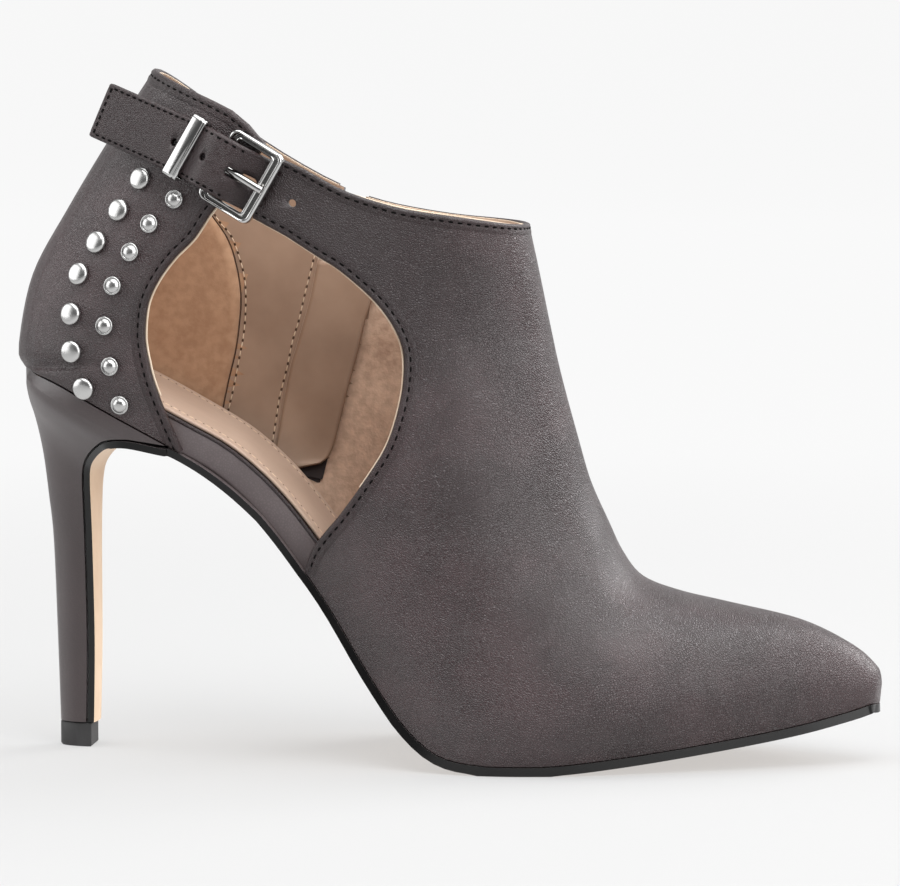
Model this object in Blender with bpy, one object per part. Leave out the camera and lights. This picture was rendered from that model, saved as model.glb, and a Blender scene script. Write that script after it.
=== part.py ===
"""Right stiletto ankle boot with a side cut-out, a buckled strap, studs and an inner zip.

Metres, +Z up. +X runs to the toe, +Y to the inner (medial) side of the foot. The origin is the
centre of the heel tip's bottom face, on the floor.
"""

import math
from collections import namedtuple

import bmesh
import bpy
from mathutils import Matrix, Vector
from mathutils.bvhtree import BVHTree

# Driving dimensions of the last and the upper
BOOT_LENGTH = 0.2286
HEEL_SET = 0.0153
HEEL_HEIGHT = 0.1016
SHAFT_RISE = 0.0784
FRONT_HEIGHT = 0.1400
TOE_SPRING = 0.0131
BALL_WIDTH = 0.0735
WAIST_WIDTH = 0.0426
SEAT_WIDTH = 0.0500
COUNTER_WIDTH = 0.0566
WALL = 0.0020
GAP = 0.0003

# How far apart the places are that give the upper's slope, for small parts and for the strap
PROBE = 0.0030
STRAP_PROBE = 0.0050

# Driving dimensions of the sole, the insole and the heel
SOLE_THICKNESS = 0.0023
BREAST_CROWN = 0.0006
INSOLE_THICKNESS = 0.0030
RAND_THICKNESS = 0.0068
SOCK_THICKNESS = 0.0010
SOCK_SETBACK = 0.0012
HEEL_STEM = 0.0080
HEEL_TIP_WIDTH = 0.0090
TOP_PIECE_HEIGHT = 0.0063

# Driving dimensions of the strap and its metal parts
STRAP_WIDTH = 0.0150
STRAP_THICKNESS = 0.0018
STRAP_LENGTH = 0.0504
STRAP_HOLE = 0.0026
BUCKLE_LENGTH = 0.0160
BUCKLE_BAR = 0.0033
BUCKLE_ARM = 0.0022
BUCKLE_THICKNESS = 0.0018
PRONG_DIAMETER = 0.0016
KEEPER_LENGTH = 0.0031
KEEPER_THICKNESS = 0.0009
KEEPER_REACH = 0.0236
HOLE_PITCH = 0.0099
STUD_LARGE = 0.0056
STUD_SMALL = 0.0049
STUD_HEIGHT = 0.0014
STUD_SEAT = 0.0004

# Driving dimensions of the zip
ZIP_WIDTH = 0.0056
ZIP_THICKNESS = 0.0015
SLIDER_LENGTH = 0.0095
SLIDER_WIDTH = 0.0066
SLIDER_THICKNESS = 0.0020
TAB_LENGTH = 0.0210
TAB_WIDTH = 0.0050
TAB_THICKNESS = 0.0011
TAB_BAR = 0.0011
TAB_NECK = 0.0040
BRIDGE_WIDTH = 0.0012
BRIDGE_THICKNESS = 0.0008

# How far the boards reach, as shares of BOOT_LENGTH
BOARD_ENDS = (0.030, 0.960)

# Mesh fineness
ZIP_STEPS = 11
LOW_STEPS = 5
HIGH_STEPS = 10
SIDE_STEPS = LOW_STEPS + HIGH_STEPS
LOW_SHARE = LOW_STEPS / SIDE_STEPS
QUARTER = math.pi / 2

LATERAL, MEDIAL = -1, 1

WIDTHS = {"ball": BALL_WIDTH, "waist": WAIST_WIDTH, "seat": SEAT_WIDTH, "shaft": SEAT_WIDTH}
GIRTHS = {"ball": BALL_WIDTH, "waist": COUNTER_WIDTH, "seat": COUNTER_WIDTH, "shaft": COUNTER_WIDTH}

# One row for each section of the last, from the toe to the collar. foot_x, front_x: shares of
# BOOT_LENGTH. toe_z, heel_z, shaft_z: shares of TOE_SPRING, HEEL_HEIGHT and SHAFT_RISE. front_z:
# share of FRONT_HEIGHT. lateral, medial: edge of the sole, as shares of the width that is named.
# swell_l, swell_m: widest place, as shares of the girth, at swell_at of the way up. dome, tail:
# roundness above and below it. ridge: where the top line lies, a share of BALL_WIDTH.
Section = namedtuple(
    "Section",
    "foot_x toe_z heel_z shaft_z width lateral medial front_x front_z "
    "swell_l swell_m swell_at dome tail ridge steps",
)
SECTIONS = [
    Section(0.998, 0.99, 0, 0, "ball", -0.027, 0.027, 1, 0.054, -0.027, 0.027, 0.4, 2, 1, 0.027, 1),
    Section(0.995, 0.99, 0, 0, "ball", 0.011, 0.06, 0.9985, 0.072, 0.015, 0.064, 0.38, 2, 1, 0.028, 1),
    Section(0.9878, 1, 0, 0, "ball", 0.045, 0.09, 0.9926, 0.088, 0.057, 0.102, 0.36, 2, 1, 0.03, 1),
    Section(0.9637, 0.88, 0, 0, "ball", 0.086, 0.122, 0.9663, 0.1351, 0.103, 0.14, 0.35, 2.1, 1, 0.033, 2),
    Section(0.9024, 0.634, 0, 0, "ball", 0.171, 0.21, 0.9068, 0.203, 0.192, 0.232, 0.33, 2.1, 1, 0.04, 2),
    Section(0.8106, 0.374, 0, 0, "ball", 0.286, 0.325, 0.8215, 0.2573, 0.314, 0.356, 0.3, 2.1, 1, 0.047, 2),
    Section(0.7143, 0.145, 0, 0, "ball", 0.393, 0.43, 0.766, 0.2981, 0.427, 0.467, 0.27, 2, 1, 0.047, 2),
    Section(0.6356, 0.01, 0, 0, "ball", 0.461, 0.495, 0.7244, 0.3374, 0.498, 0.533, 0.25, 1.95, 1, 0.04, 2),
    Section(0.5656, 0, 0, 0, "ball", 0.482, 0.516, 0.7003, 0.3874, 0.52, 0.554, 0.22, 1.9, 1, 0.034, 2),
    Section(0.4956, 0, 0.0374, 0, "ball", 0.449, 0.471, 0.6833, 0.4475, 0.498, 0.525, 0.22, 1.9, 1, 0.027, 2),
    Section(0.4256, 0, 0.2136, 0, "ball", 0.385, 0.374, 0.6623, 0.5275, 0.454, 0.467, 0.28, 1.9, 1, 0.02, 2),
    Section(0.3469, 0, 0.505, 0, "waist", 0.54, 0.46, 0.6435, 0.6362, 0.537, 0.527, 0.36, 2, 1, 0.014, 3),
    Section(0.2682, 0, 0.694, 0, "waist", 0.526, 0.5, 0.6321, 0.7048, 0.509, 0.498, 0.37, 2.1, 1, 0.007, 1),
    Section(0.2332, 0, 0.7425, 0, "waist", 0.547, 0.538, 0.6295, 0.7248, 0.502, 0.491, 0.36, 2.15, 1, 0.005, 1),
    Section(0.2025, 0, 0.783, 0, "seat", 0.49, 0.49, 0.6269, 0.7398, 0.498, 0.489, 0.35, 2.2, 1, 0.003, 2),
    Section(0.1282, 0, 0.871, 0, "seat", 0.496, 0.496, 0.6234, 0.767, 0.5, 0.495, 0.35, 2.2, 1.1, 0, 1),
    Section(0.0669, 0, 0.94, 0, "seat", 0.424, 0.424, 0.6212, 0.7863, 0.5, 0.495, 0.355, 2.2, 1.5, 0, 2),
    Section(0.0276, 0, 0.9685, 0, "seat", 0.264, 0.264, 0.6199, 0.7956, 0.5, 0.495, 0.365, 2.2, 2.1, 0, 2),
    Section(0.0048, 0, 0.984, 0, "shaft", 0, 0, 0.619, 0.802, 0.5, 0.495, 0.375, 2.2, 2.55, 0, 1),
    Section(0, 0, 0.984, 0.066, "shaft", 0, 0, 0.6172, 0.817, 0.5, 0.495, 0.375, 2.2, 2.55, 0, 2),
    Section(0.0166, 0, 0.984, 0.302, "shaft", 0, 0, 0.6133, 0.8449, 0.493, 0.489, 0.38, 2.2, 2.35, 0, 2),
    Section(0.0582, 0, 0.984, 0.5255, "shaft", 0, 0, 0.6085, 0.8856, 0.489, 0.488, 0.4, 2.2, 2.1, 0, 2),
    Section(0.1063, 0, 0.984, 0.755, "shaft", 0, 0, 0.6015, 0.9357, 0.498, 0.498, 0.44, 2.2, 2, 0, 2),
    Section(0.1597, 0, 0.984, 0.99, "shaft", 0, 0, 0.5928, 1, 0.512, 0.512, 0.5, 2.2, 2, 0, 1),
]
FIRST_CLOSED = 18
LAST = len(SECTIONS) - 1

# Collar line on each side: share of the way from the back peak to the front, and height as a
# share of the drop from peak to front
COLLAR = {
    LATERAL: [(0.0, 1.0), (0.04, 1.01), (0.132, 0.897), (0.225, 0.782), (0.304, 0.639), (0.382, 0.446),
              (0.439, 0.381), (0.531, 0.256), (0.596, 0.193), (0.701, 0.118), (0.857, 0.055), (1.0, 0.0)],
    MEDIAL: [(0.0, 1.0), (0.109, 0.764), (0.235, 0.526), (0.339, 0.361), (0.441, 0.228), (0.568, 0.108),
             (0.779, 0.022), (1.0, 0.0)],
}

# Places on the upper's side: share of BOOT_LENGTH, and share of the way from the sole to the
# brow, the straight line from the back peak to the front of the collar
COUNTER_EDGE = [(0.2157, -0.030), (0.2070, 0.0), (0.2008, 0.032), (0.1859, 0.109), (0.1763, 0.163),
                (0.1689, 0.232), (0.1667, 0.289), (0.1706, 0.372), (0.1833, 0.454), (0.2021, 0.536),
                (0.2244, 0.614), (0.2445, 0.708)]
EAR_TIP = [(0.2703, 0.807), (0.2913, 0.895), (0.3023, 0.931), (0.3084, 0.955), (0.3040, 0.972), (0.2900, 0.997)]
VAMP_EDGE = [(0.3320, 0.763), (0.3683, 0.761), (0.3933, 0.762), (0.4300, 0.749), (0.4519, 0.725),
             (0.4641, 0.689), (0.4654, 0.632), (0.4589, 0.5635), (0.4466, 0.485), (0.4243, 0.385),
             (0.3946, 0.247), (0.3753, 0.157), (0.3578, 0.066), (0.3447, -0.040)]
STRAP_LINE = [(0.3062, 0.8406), (0.2616, 0.8486), (0.2157, 0.8480), (0.1654, 0.8440), (0.1150, 0.8360)]
BAND_HOLE = (0.3395, 0.846)
ZIP_LINE = [(0.3850, 1.06), (0.3664, 0.74), (0.3475, 0.50), (0.3320, 0.30), (0.3140, 0.085)]
LARGE_STUDS = [(0.1605, 0.700), (0.1350, 0.583), (0.1090, 0.462), (0.0885, 0.348), (0.0800, 0.224),
               (0.0810, 0.118), (0.0960, 0.033)]
SMALL_STUDS = [(0.2035, 0.693), (0.1740, 0.592), (0.1515, 0.487), (0.1315, 0.369), (0.1220, 0.245),
               (0.1285, 0.139), (0.1395, 0.045)]

# Heel sections, tip to seat. x: shares of HEEL_STEM from the origin. z: shares of HEEL_HEIGHT
# above the tip's top face. half: share of SEAT_WIDTH, front edge.
HeelRow = namedtuple("HeelRow", "front_x front_z back_x back_z half power")
HEEL_ROWS = [
    HeelRow(0.31, 0.000, -0.700, 0.000, 0.092, 2.0),
    HeelRow(0.37, 0.212, -0.775, 0.212, 0.102, 2.0),
    HeelRow(0.35, 0.447, -0.888, 0.475, 0.122, 2.0),
    HeelRow(0.34, 0.566, -1.040, 0.595, 0.147, 2.0),
    HeelRow(0.35, 0.634, -1.190, 0.693, 0.176, 2.1),
    HeelRow(0.42, 0.677, -1.325, 0.757, 0.212, 2.2),
    HeelRow(0.63, 0.709, -1.490, 0.816, 0.276, 2.3),
    HeelRow(1.03, 0.740, -1.650, 0.860, 0.366, 2.4),
    HeelRow(1.50, 0.760, -1.735, 0.900, 0.446, 2.5),
    HeelRow(2.25, 0.765, -1.765, 0.922, 0.488, 2.6),
]
SEAT_FRONT = (0.1894, 0.7864)
HEEL_POINTS = 9


def mix(a, b, t):
    """Value a part t of the way from a to b."""
    return a + (b - a) * t


def spline(rows, t):
    """Point at row number t on the smooth curve through rows of numbers."""
    i = max(0, min(int(t), len(rows) - 2))
    f = t - i
    a, b = rows[max(i - 1, 0)], rows[i]
    c, d = rows[i + 1], rows[min(i + 2, len(rows) - 1)]
    return tuple(
        0.5 * (2 * q + (r - p) * f + (2 * p - 5 * q + 4 * r - s) * f * f + (3 * q - p - 3 * r + s) * f**3)
        for p, q, r, s in zip(a, b, c, d)
    )


def curve(rows, steps):
    """Points on the smooth curve through rows, a number of steps to each span."""
    count = (len(rows) - 1) * steps
    return [spline(rows, i / steps) for i in range(count + 1)]


def look_up(pairs, x):
    """Second number of pairs sorted by the first, read at x along straight lines."""
    if x <= pairs[0][0]:
        return pairs[0][1]
    for (x0, z0), (x1, z1) in zip(pairs, pairs[1:]):
        if x <= x1:
            return mix(z0, z1, (x - x0) / max(x1 - x0, 1e-9))
    return pairs[-1][1]


def along(share):
    """Distance along the boot, from a share of its length."""
    return share * BOOT_LENGTH - HEEL_SET


def section_values(row):
    """Section row in metres."""
    width, girth = WIDTHS[row.width], GIRTHS[row.width]
    lift = row.toe_z * TOE_SPRING
    foot_z = SOLE_THICKNESS + GAP + lift + row.heel_z * HEEL_HEIGHT + row.shaft_z * SHAFT_RISE
    return (
        along(row.foot_x), foot_z, along(row.front_x), row.front_z * FRONT_HEIGHT + lift,
        row.lateral * width, row.medial * width, row.swell_l * girth, row.swell_m * girth,
        row.swell_at, row.dome, row.tail, row.ridge * BALL_WIDTH,
    )


VALUES = [section_values(row) for row in SECTIONS]
FLAT_Z = SOLE_THICKNESS + GAP


def section_at(v):
    """Section values at row number v, with the sole line never below the tread."""
    values = list(spline(VALUES, v))
    values[1] = max(values[1], FLAT_Z)
    return values


def last_point(v, side, s):
    """Point on the outside of the upper: v from toe to collar, s from the sole edge to the top."""
    fx, fz, tx, tz, lateral, medial, swell_l, swell_m, at, dome, tail, ridge = section_at(v)
    edge, swell, top = (lateral, swell_l, -ridge) if side == LATERAL else (medial, swell_m, ridge)
    if s < LOW_SHARE:
        turn = s / LOW_SHARE * QUARTER
        u = at * (1 - math.cos(turn))
        y = edge + (swell - edge) * math.sin(turn) ** (2 / tail)
    else:
        turn = (s - LOW_SHARE) / (1 - LOW_SHARE) * QUARTER
        u = at + (1 - at) * math.sin(turn) ** (2 / dome)
        y = top + (swell - top) * max(math.cos(turn), 0.0) ** (2 / dome)
    return Vector((mix(fx, tx, u), side * y, mix(fz, tz, u)))


STATIONS = [
    i + k / SECTIONS[i].steps for i in range(LAST) for k in range(SECTIONS[i].steps)
] + [float(LAST)]
CLOSED_AT = STATIONS.index(float(FIRST_CLOSED))
FOOT_LINE = [section_at(v)[:2] for v in STATIONS[: CLOSED_AT + 1]]
FOOT_PAIRS = sorted(FOOT_LINE)
PEAK = VALUES[LAST][:2]
BROW_FRONT = VALUES[LAST][2:4]


def brow_z(x):
    """Height of the straight line from the back peak to the front of the collar."""
    return mix(PEAK[1], BROW_FRONT[1], (x - PEAK[0]) / (BROW_FRONT[0] - PEAK[0]))


def side_xz(place):
    """Place on the upper's side, as x and z."""
    x = along(place[0])
    low = look_up(FOOT_PAIRS, x)
    return x, mix(low, brow_z(x), place[1])


def collar_z(side, x):
    """Height of the collar on one side."""
    pairs = curve(COLLAR[side], 4)
    share = (x - PEAK[0]) / (BROW_FRONT[0] - PEAK[0])
    return mix(BROW_FRONT[1], PEAK[1], look_up(pairs, share))


def collar_row(side, s):
    """Row number at which the upper ends, at s on one side."""
    low, high = float(FIRST_CLOSED), float(LAST)
    point = last_point(high, side, s)
    if point.z <= collar_z(side, point.x):
        return high
    for _ in range(24):
        middle = (low + high) / 2
        point = last_point(middle, side, s)
        if point.z > collar_z(side, point.x):
            high = middle
        else:
            low = middle
    return high


def path_normal(points, i):
    """Upward normal, in x and z, of a line of points that runs from the toe to the heel."""
    (x0, z0), (x1, z1) = points[max(i - 1, 0)][:2], points[min(i + 1, len(points) - 1)][:2]
    size = math.hypot(x1 - x0, z1 - z0)
    return Vector(((z1 - z0) / size, 0.0, -(x1 - x0) / size))


def material(name, colour, roughness, metallic=0.0):
    """Plain principled material."""
    made = bpy.data.materials.new(name)
    made.use_nodes = True
    shader = made.node_tree.nodes["Principled BSDF"]
    shader.inputs["Base Color"].default_value = (*colour, 1.0)
    shader.inputs["Roughness"].default_value = roughness
    shader.inputs["Metallic"].default_value = metallic
    return made


def solid(name, points, faces, finish=None, smooth=30):
    """Object from points and faces, its faces turned outwards."""
    mesh = bpy.data.meshes.new(name)
    shape = bmesh.new()
    corners = [shape.verts.new(p) for p in points]
    for face in faces:
        ring = [n for k, n in enumerate(face) if n != face[k - 1]]
        if len(set(ring)) > 2:
            shape.faces.new([corners[n] for n in ring])
    bmesh.ops.triangulate(shape, faces=shape.faces)
    bmesh.ops.recalc_face_normals(shape, faces=shape.faces)
    shape.to_mesh(mesh)
    shape.free()
    if finish:
        mesh.materials.append(finish)
    mesh.shade_smooth()
    mesh.set_sharp_from_angle(angle=math.radians(smooth))
    made = bpy.data.objects.new(name, mesh)
    bpy.context.collection.objects.link(made)
    return made


def cut(target, cutter):
    """Take a closed shape out of an object."""
    cutter.hide_render = True
    cutter.display_type = "WIRE"
    step = target.modifiers.new(cutter.name, "BOOLEAN")
    step.object = cutter
    step.solver = "EXACT"


def prism(name, outline, near, far):
    """Closed shape with an x and z outline, from near to far in y."""
    count = len(outline)
    points = [(x, near, z) for x, z in outline] + [(x, far, z) for x, z in outline]
    faces = [tuple(range(count)), tuple(range(2 * count - 1, count - 1, -1))]
    faces += [(k, (k + 1) % count, (k + 1) % count + count, k + count) for k in range(count)]
    return solid(name, points, faces)


def ribbon(name, stations, finish):
    """Solid from a list of closed rings with the same number of points, capped at both ends."""
    count = len(stations[0])
    points = [p for ring in stations for p in ring]
    faces = [tuple(range(count)), tuple(range(len(points) - 1, len(points) - count - 1, -1))]
    for i in range(len(stations) - 1):
        for k in range(count):
            a, b = i * count + k, i * count + (k + 1) % count
            faces.append((a, b, b + count, a + count))
    return solid(name, points, faces, finish)


def band_faces(low, high):
    """Four-sided faces between two rings with the same number of points."""
    count = len(low)
    return [(low[k], low[(k + 1) % count], high[(k + 1) % count], high[k]) for k in range(count)]


class Shell:
    """Grid of the upper's outside, from the toe to the collar, and its inside wall."""

    def __init__(self):
        self.points = []
        self.index = {}
        self.faces = []
        for i in range(len(STATIONS)):
            for side in (LATERAL, MEDIAL):
                for k in range(SIDE_STEPS + 1):
                    self.add(i, side, k)
        for i in range(len(STATIONS) - 1):
            for side in (LATERAL, MEDIAL):
                for k in range(SIDE_STEPS):
                    ring = [self.at(i, side, k), self.at(i + 1, side, k),
                            self.at(i + 1, side, k + 1), self.at(i, side, k + 1)]
                    self.faces.append(ring if side == MEDIAL else ring[::-1])
        self.tree = BVHTree.FromPolygons(self.points, self.faces, epsilon=0.0)

    def key(self, i, side, k):
        """Name of a grid point, the same for points where the two sides meet."""
        shared = k == SIDE_STEPS or i == 0 or (k == 0 and i >= CLOSED_AT)
        return (i, 0 if shared else side, k)

    def add(self, i, side, k):
        """Work out one grid point."""
        key = self.key(i, side, k)
        if key in self.index:
            return
        v, s = STATIONS[i], k / SIDE_STEPS
        if v > FIRST_CLOSED:
            v = mix(FIRST_CLOSED, collar_row(side, s), (v - FIRST_CLOSED) / (LAST - FIRST_CLOSED))
        self.index[key] = len(self.points)
        self.points.append(last_point(v, side, s))

    def at(self, i, side, k):
        """Number of a grid point."""
        return self.index[self.key(i, side, k)]

    def normals(self):
        """Outward normal at each grid point, in the plane of the sole along its edge."""
        sums = [Vector() for _ in self.points]
        for ring in self.faces:
            corners = [self.points[n] for n in ring]
            normal = (corners[2] - corners[0]).cross(corners[3] - corners[1])
            for n in ring:
                sums[n] += normal
        for i in range(CLOSED_AT + 1):
            up = path_normal(FOOT_LINE, i)
            for side in (LATERAL, MEDIAL):
                n = self.at(i, side, 0)
                sums[n] = sums[n] - up * sums[n].dot(up)
        return [s.normalized() for s in sums]

    def build(self, name, finish):
        """Hollow upper with its wall, open at the collar and underneath."""
        total = len(self.points)
        inner = [p - n * WALL for p, n in zip(self.points, self.normals())]
        faces = [tuple(ring) for ring in self.faces]
        faces += [tuple(n + total for n in reversed(ring)) for ring in self.faces]
        end = len(STATIONS) - 1
        for side in (LATERAL, MEDIAL):
            for i in range(CLOSED_AT):
                a, b = self.at(i, side, 0), self.at(i + 1, side, 0)
                faces.append((a, b, b + total, a + total))
            for k in range(SIDE_STEPS):
                a, b = self.at(end, side, k), self.at(end, side, k + 1)
                faces.append((a, b, b + total, a + total))
        return solid(name, self.points + inner, faces, finish, 40)

    def touch(self, side, x, z):
        """Point on the upper's outside at x and z, and the outward normal there."""
        start = Vector((x, side * 0.2, z))
        hit, normal, _, _ = self.tree.ray_cast(start, Vector((0, -side, 0)))
        if hit is None:
            return None, None
        return hit, normal if normal.y * side > 0 else -normal

    def frame(self, side, x, z, ahead, reach=PROBE):
        """Point on the outside with axes: along ahead, across, and outward."""
        point = self.touch(side, x, z)[0]
        hits = [self.touch(side, x + dx, z + dz)[0] for dx, dz in
                ((reach, 0), (-reach, 0), (0, reach), (0, -reach))]
        near = [point if hit is None else hit for hit in hits]
        out = (near[0] - near[1]).cross(near[2] - near[3]).normalized()
        if out.y * side < 0:
            out = -out
        first = Vector((ahead[0], 0, ahead[1]))
        first = (first - out * first.dot(out)).normalized()
        across = out.cross(first)
        if across.z < 0:
            across = -across
        return point, first, across, out


def cutout_outline():
    """Outline of the side cut-out, with the gap between the ear and the band's end."""
    counter = curve([side_xz(p) for p in COUNTER_EDGE + EAR_TIP], 2)
    edge = curve([side_xz(p) for p in VAMP_EDGE], 3)
    middle, lean = band_end()
    reach = STRAP_WIDTH
    top = (middle[0] + lean[0] * reach, middle[1] + lean[1] * reach)
    low = (middle[0] - lean[0] * reach / 2, middle[1] - lean[1] * reach / 2)
    above = (counter[-1][0], top[1] + reach / 2)
    under = [(mix(edge[-1][0], counter[0][0], t), 0.0) for t in (0.0, 0.33, 0.67, 1.0)]
    under = [(x, look_up(FOOT_PAIRS, x) - 3 * WALL) for x, _ in under]
    return counter + [above, (top[0], above[1]), top, low] + edge + under


def band_end():
    """Middle of the line where the band ends and the strap begins, and its lean in x and z."""
    (x0, z0), (x1, z1) = side_xz(STRAP_LINE[0]), side_xz(STRAP_LINE[1])
    size = math.hypot(x1 - x0, z1 - z0)
    return (x0, z0), (-(z0 - z1) / size, (x0 - x1) / size)


def make_upper(shell, finish):
    """Upper with its cut-out, the slot of its zip and the band's spare hole."""
    upper = shell.build("upper", finish)
    cut(upper, prism("cut_side", cutout_outline(), -3 * COUNTER_WIDTH, -2 * WALL))
    cut(upper, zip_slot(shell))
    cut(upper, hole_cutter("cut_band_hole", shell, side_xz(BAND_HOLE)))
    return upper


def hole_cutter(name, shell, place, length=None, deep=4 * WALL):
    """Round or long cutter square to the upper's outside."""
    ahead = strap_direction()
    point, first, across, out = shell.frame(LATERAL, *place, ahead)
    spread = (length or STRAP_HOLE) / 2 - STRAP_HOLE / 2
    rings = []
    for depth in (-deep, deep):
        ring = []
        for k in range(12):
            turn = 2 * math.pi * (k + 0.5) / 12
            shift = spread if math.cos(turn) > 0 else -spread
            ring.append(point + first * (shift + math.cos(turn) * STRAP_HOLE / 2)
                        + across * math.sin(turn) * STRAP_HOLE / 2 + out * depth)
        rings.append(ring)
    return ribbon(name, rings, None)


def strap_direction():
    """Direction of the strap at the buckle, towards its free end, in x and z."""
    (x0, z0), (x1, z1) = side_xz(STRAP_LINE[0]), side_xz(STRAP_LINE[1])
    size = math.hypot(x1 - x0, z1 - z0)
    return (x1 - x0) / size, (z1 - z0) / size


def sole_edges(v):
    """Half-widths of the sole at row number v."""
    values = section_at(v)
    return values[4], values[5]


def strip(name, rows, finish, across=4):
    """Solid strip from rows of line point, up normal, half-widths, top and bottom heights.

    Each row is (x, z, up, lateral, medial, top, bottom, crown); a row without width is a tip.
    """
    points, rings = [], []
    for x, z, up, lateral, medial, top, bottom, crown in rows:
        tip = lateral + medial < 1e-6
        ring = []
        for level, bulge, order in ((top, 0.0, range(across + 1)), (bottom, crown, range(across, -1, -1))):
            for k in order:
                share = k / across
                y = mix(-lateral, medial, share)
                height = level - bulge * (1 - (2 * share - 1) ** 2)
                if tip and k != order[0]:
                    ring.append(ring[-1])
                    continue
                ring.append(len(points))
                points.append(Vector((x, y, z)) + up * height)
        rings.append(ring)
    faces = [tuple(rings[-1])]
    if len(set(rings[0])) > 2:
        faces.append(tuple(reversed(rings[0])))
    for a, b in zip(rings, rings[1:]):
        faces += band_faces(a, b)
    return solid(name, points, faces, finish)


def heel_front(row):
    """Line point of the sole flap on the heel's front, and its half-width."""
    z = TOP_PIECE_HEIGHT + GAP + row.front_z * HEEL_HEIGHT
    return row.front_x * HEEL_STEM, z, row.half * SEAT_WIDTH


def sole_line():
    """Rows of the outsole's upper face, from the toe under the arch and down the heel's front."""
    waist_end = FIRST_CLOSED - 5
    rows = [(*section_at(v)[:2], *sole_edges(v), 0.0) for v in STATIONS if v <= waist_end]
    seat = (along(SEAT_FRONT[0]), FLAT_Z + SEAT_FRONT[1] * HEEL_HEIGHT)
    control = [rows[-2][:4], rows[-1][:4]]
    joint = VALUES[FIRST_CLOSED - 4]
    control.append((joint[0], joint[1] - GAP, joint[4], joint[5]))
    half = section_at(FIRST_CLOSED - 3.8)[4]
    control.append((*seat, half, half))
    for row in reversed(HEEL_ROWS):
        x, z, wide = heel_front(row)
        control.append((x, z, wide, wide))
    down = [spline(control, 1 + i / 2) for i in range(1, 2 * (len(control) - 2) + 1)]
    crowned = len(down) - 2 * len(HEEL_ROWS)
    for i, row in enumerate(down):
        rows.append((*row, BREAST_CROWN * min(1.0, max(0.0, (i - crowned) / 6))))
    return rows


def make_outsole(finish):
    """Thin outsole, which runs on down the front of the heel."""
    line = sole_line()
    rows = []
    for i, (x, z, lateral, medial, crown) in enumerate(line):
        up = path_normal(line, i)
        if i == len(line) - 1:
            up = Vector((-1, 0, 0))
        rows.append((x, z, up, lateral, medial, -GAP, -GAP - SOLE_THICKNESS, crown))
    outsole = strip("outsole", rows, finish)
    for corner in outsole.data.vertices:
        if corner.co.z < GAP:
            corner.co.z = 0.0
    return outsole


def make_heel(finish):
    """Leather-covered heel, a loft from its tip to the seat."""
    sections = []
    for row in HEEL_ROWS:
        x, z, half = heel_front(row)
        back = (row.back_x * HEEL_STEM, TOP_PIECE_HEIGHT + GAP + row.back_z * HEEL_HEIGHT)
        sections.append(((x, z), back, half, row.power))
    line = [s[0] for s in reversed(sections)]
    points, rings = [], []
    for number, (front, back, half, power) in enumerate(sections):
        up = path_normal(line, len(line) - 1 - number)
        if number == 0:
            up = Vector((-1, 0, 0))
        front = (front[0] + up.x * GAP, front[1] + up.z * GAP)
        rings.append(heel_ring(points, front, back, half, power))
    rings.append(seat_ring(points))
    faces = []
    for a, b in zip(rings, rings[1:]):
        faces += band_faces(a, b)
    for ring in (rings[0], rings[-1]):
        size = len(ring)
        faces += [(ring[k], ring[k + 1], ring[size - 2 - k], ring[size - 1 - k]) for k in range(size // 2 - 1)]
        faces.append((ring[size // 2 - 1], ring[size // 2], ring[size // 2 + 1]))
    return solid("heel", points, [f for f in faces if len(set(f)) > 2], finish, 50)


def heel_ring(points, front, back, half, power):
    """Points round one heel section: outer side front to back, then inner side back to front."""
    ring = []
    shares = [math.cos(QUARTER * k / HEEL_POINTS) for k in range(HEEL_POINTS + 1)]
    for side, order in ((LATERAL, shares), (MEDIAL, list(reversed(shares))[1:])):
        for near in order:
            wide = half * max(0.0, 1 - (1 - near) ** power) ** 0.5
            ring.append(len(points))
            points.append(Vector((mix(back[0], front[0], near), side * wide, mix(back[1], front[1], near))))
    return ring


def seat_ring(points):
    """Points round the seat, on the sole line and just under the upper."""
    front = along(SEAT_FRONT[0])
    rows = [spline(VALUES, mix(FIRST_CLOSED - 4, FIRST_CLOSED, k / 40)) for k in range(41)]
    pairs = sorted((r[0], r[4]) for r in rows)
    back = pairs[0][0]
    ring = []
    shares = [math.cos(QUARTER * k / HEEL_POINTS) for k in range(HEEL_POINTS + 1)]
    for side, order in ((LATERAL, shares), (MEDIAL, list(reversed(shares))[1:])):
        for near in order:
            x = mix(back, front, near)
            ring.append(len(points))
            points.append(Vector((x, side * look_up(pairs, x), look_up(FOOT_PAIRS, x) - 1.5 * GAP)))
    return ring


def make_top_piece(finish):
    """Rubber tip under the heel and the end of the sole's flap."""
    row = HEEL_ROWS[0]
    front = heel_front(row)[0] + SOLE_THICKNESS / 2
    back = row.back_x * HEEL_STEM
    points, rings = [], []
    for z in (0.0, TOP_PIECE_HEIGHT):
        rings.append(heel_ring(points, (front, z), (back, z), HEEL_TIP_WIDTH / 2, row.power))
    low, high = rings
    faces = [tuple(low), tuple(reversed(high))] + band_faces(low, high)
    return solid("top_piece", points, faces, finish, 40)


def inset_outline(side, inset):
    """Half-widths against x of the sole's outline on one side, moved inwards."""
    column = 4 if side == LATERAL else 5
    edge = [(row[0], row[column]) for row in (section_at(v) for v in STATIONS[: CLOSED_AT + 1])]
    moved = []
    for k, (x, wide) in enumerate(edge):
        (x0, w0), (x1, w1) = edge[max(k - 1, 0)], edge[min(k + 1, CLOSED_AT)]
        size = math.hypot(x1 - x0, w1 - w0)
        moved.append((x - (w1 - w0) / size * inset, wide + (x1 - x0) / size * inset))
    return sorted(moved)


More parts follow.
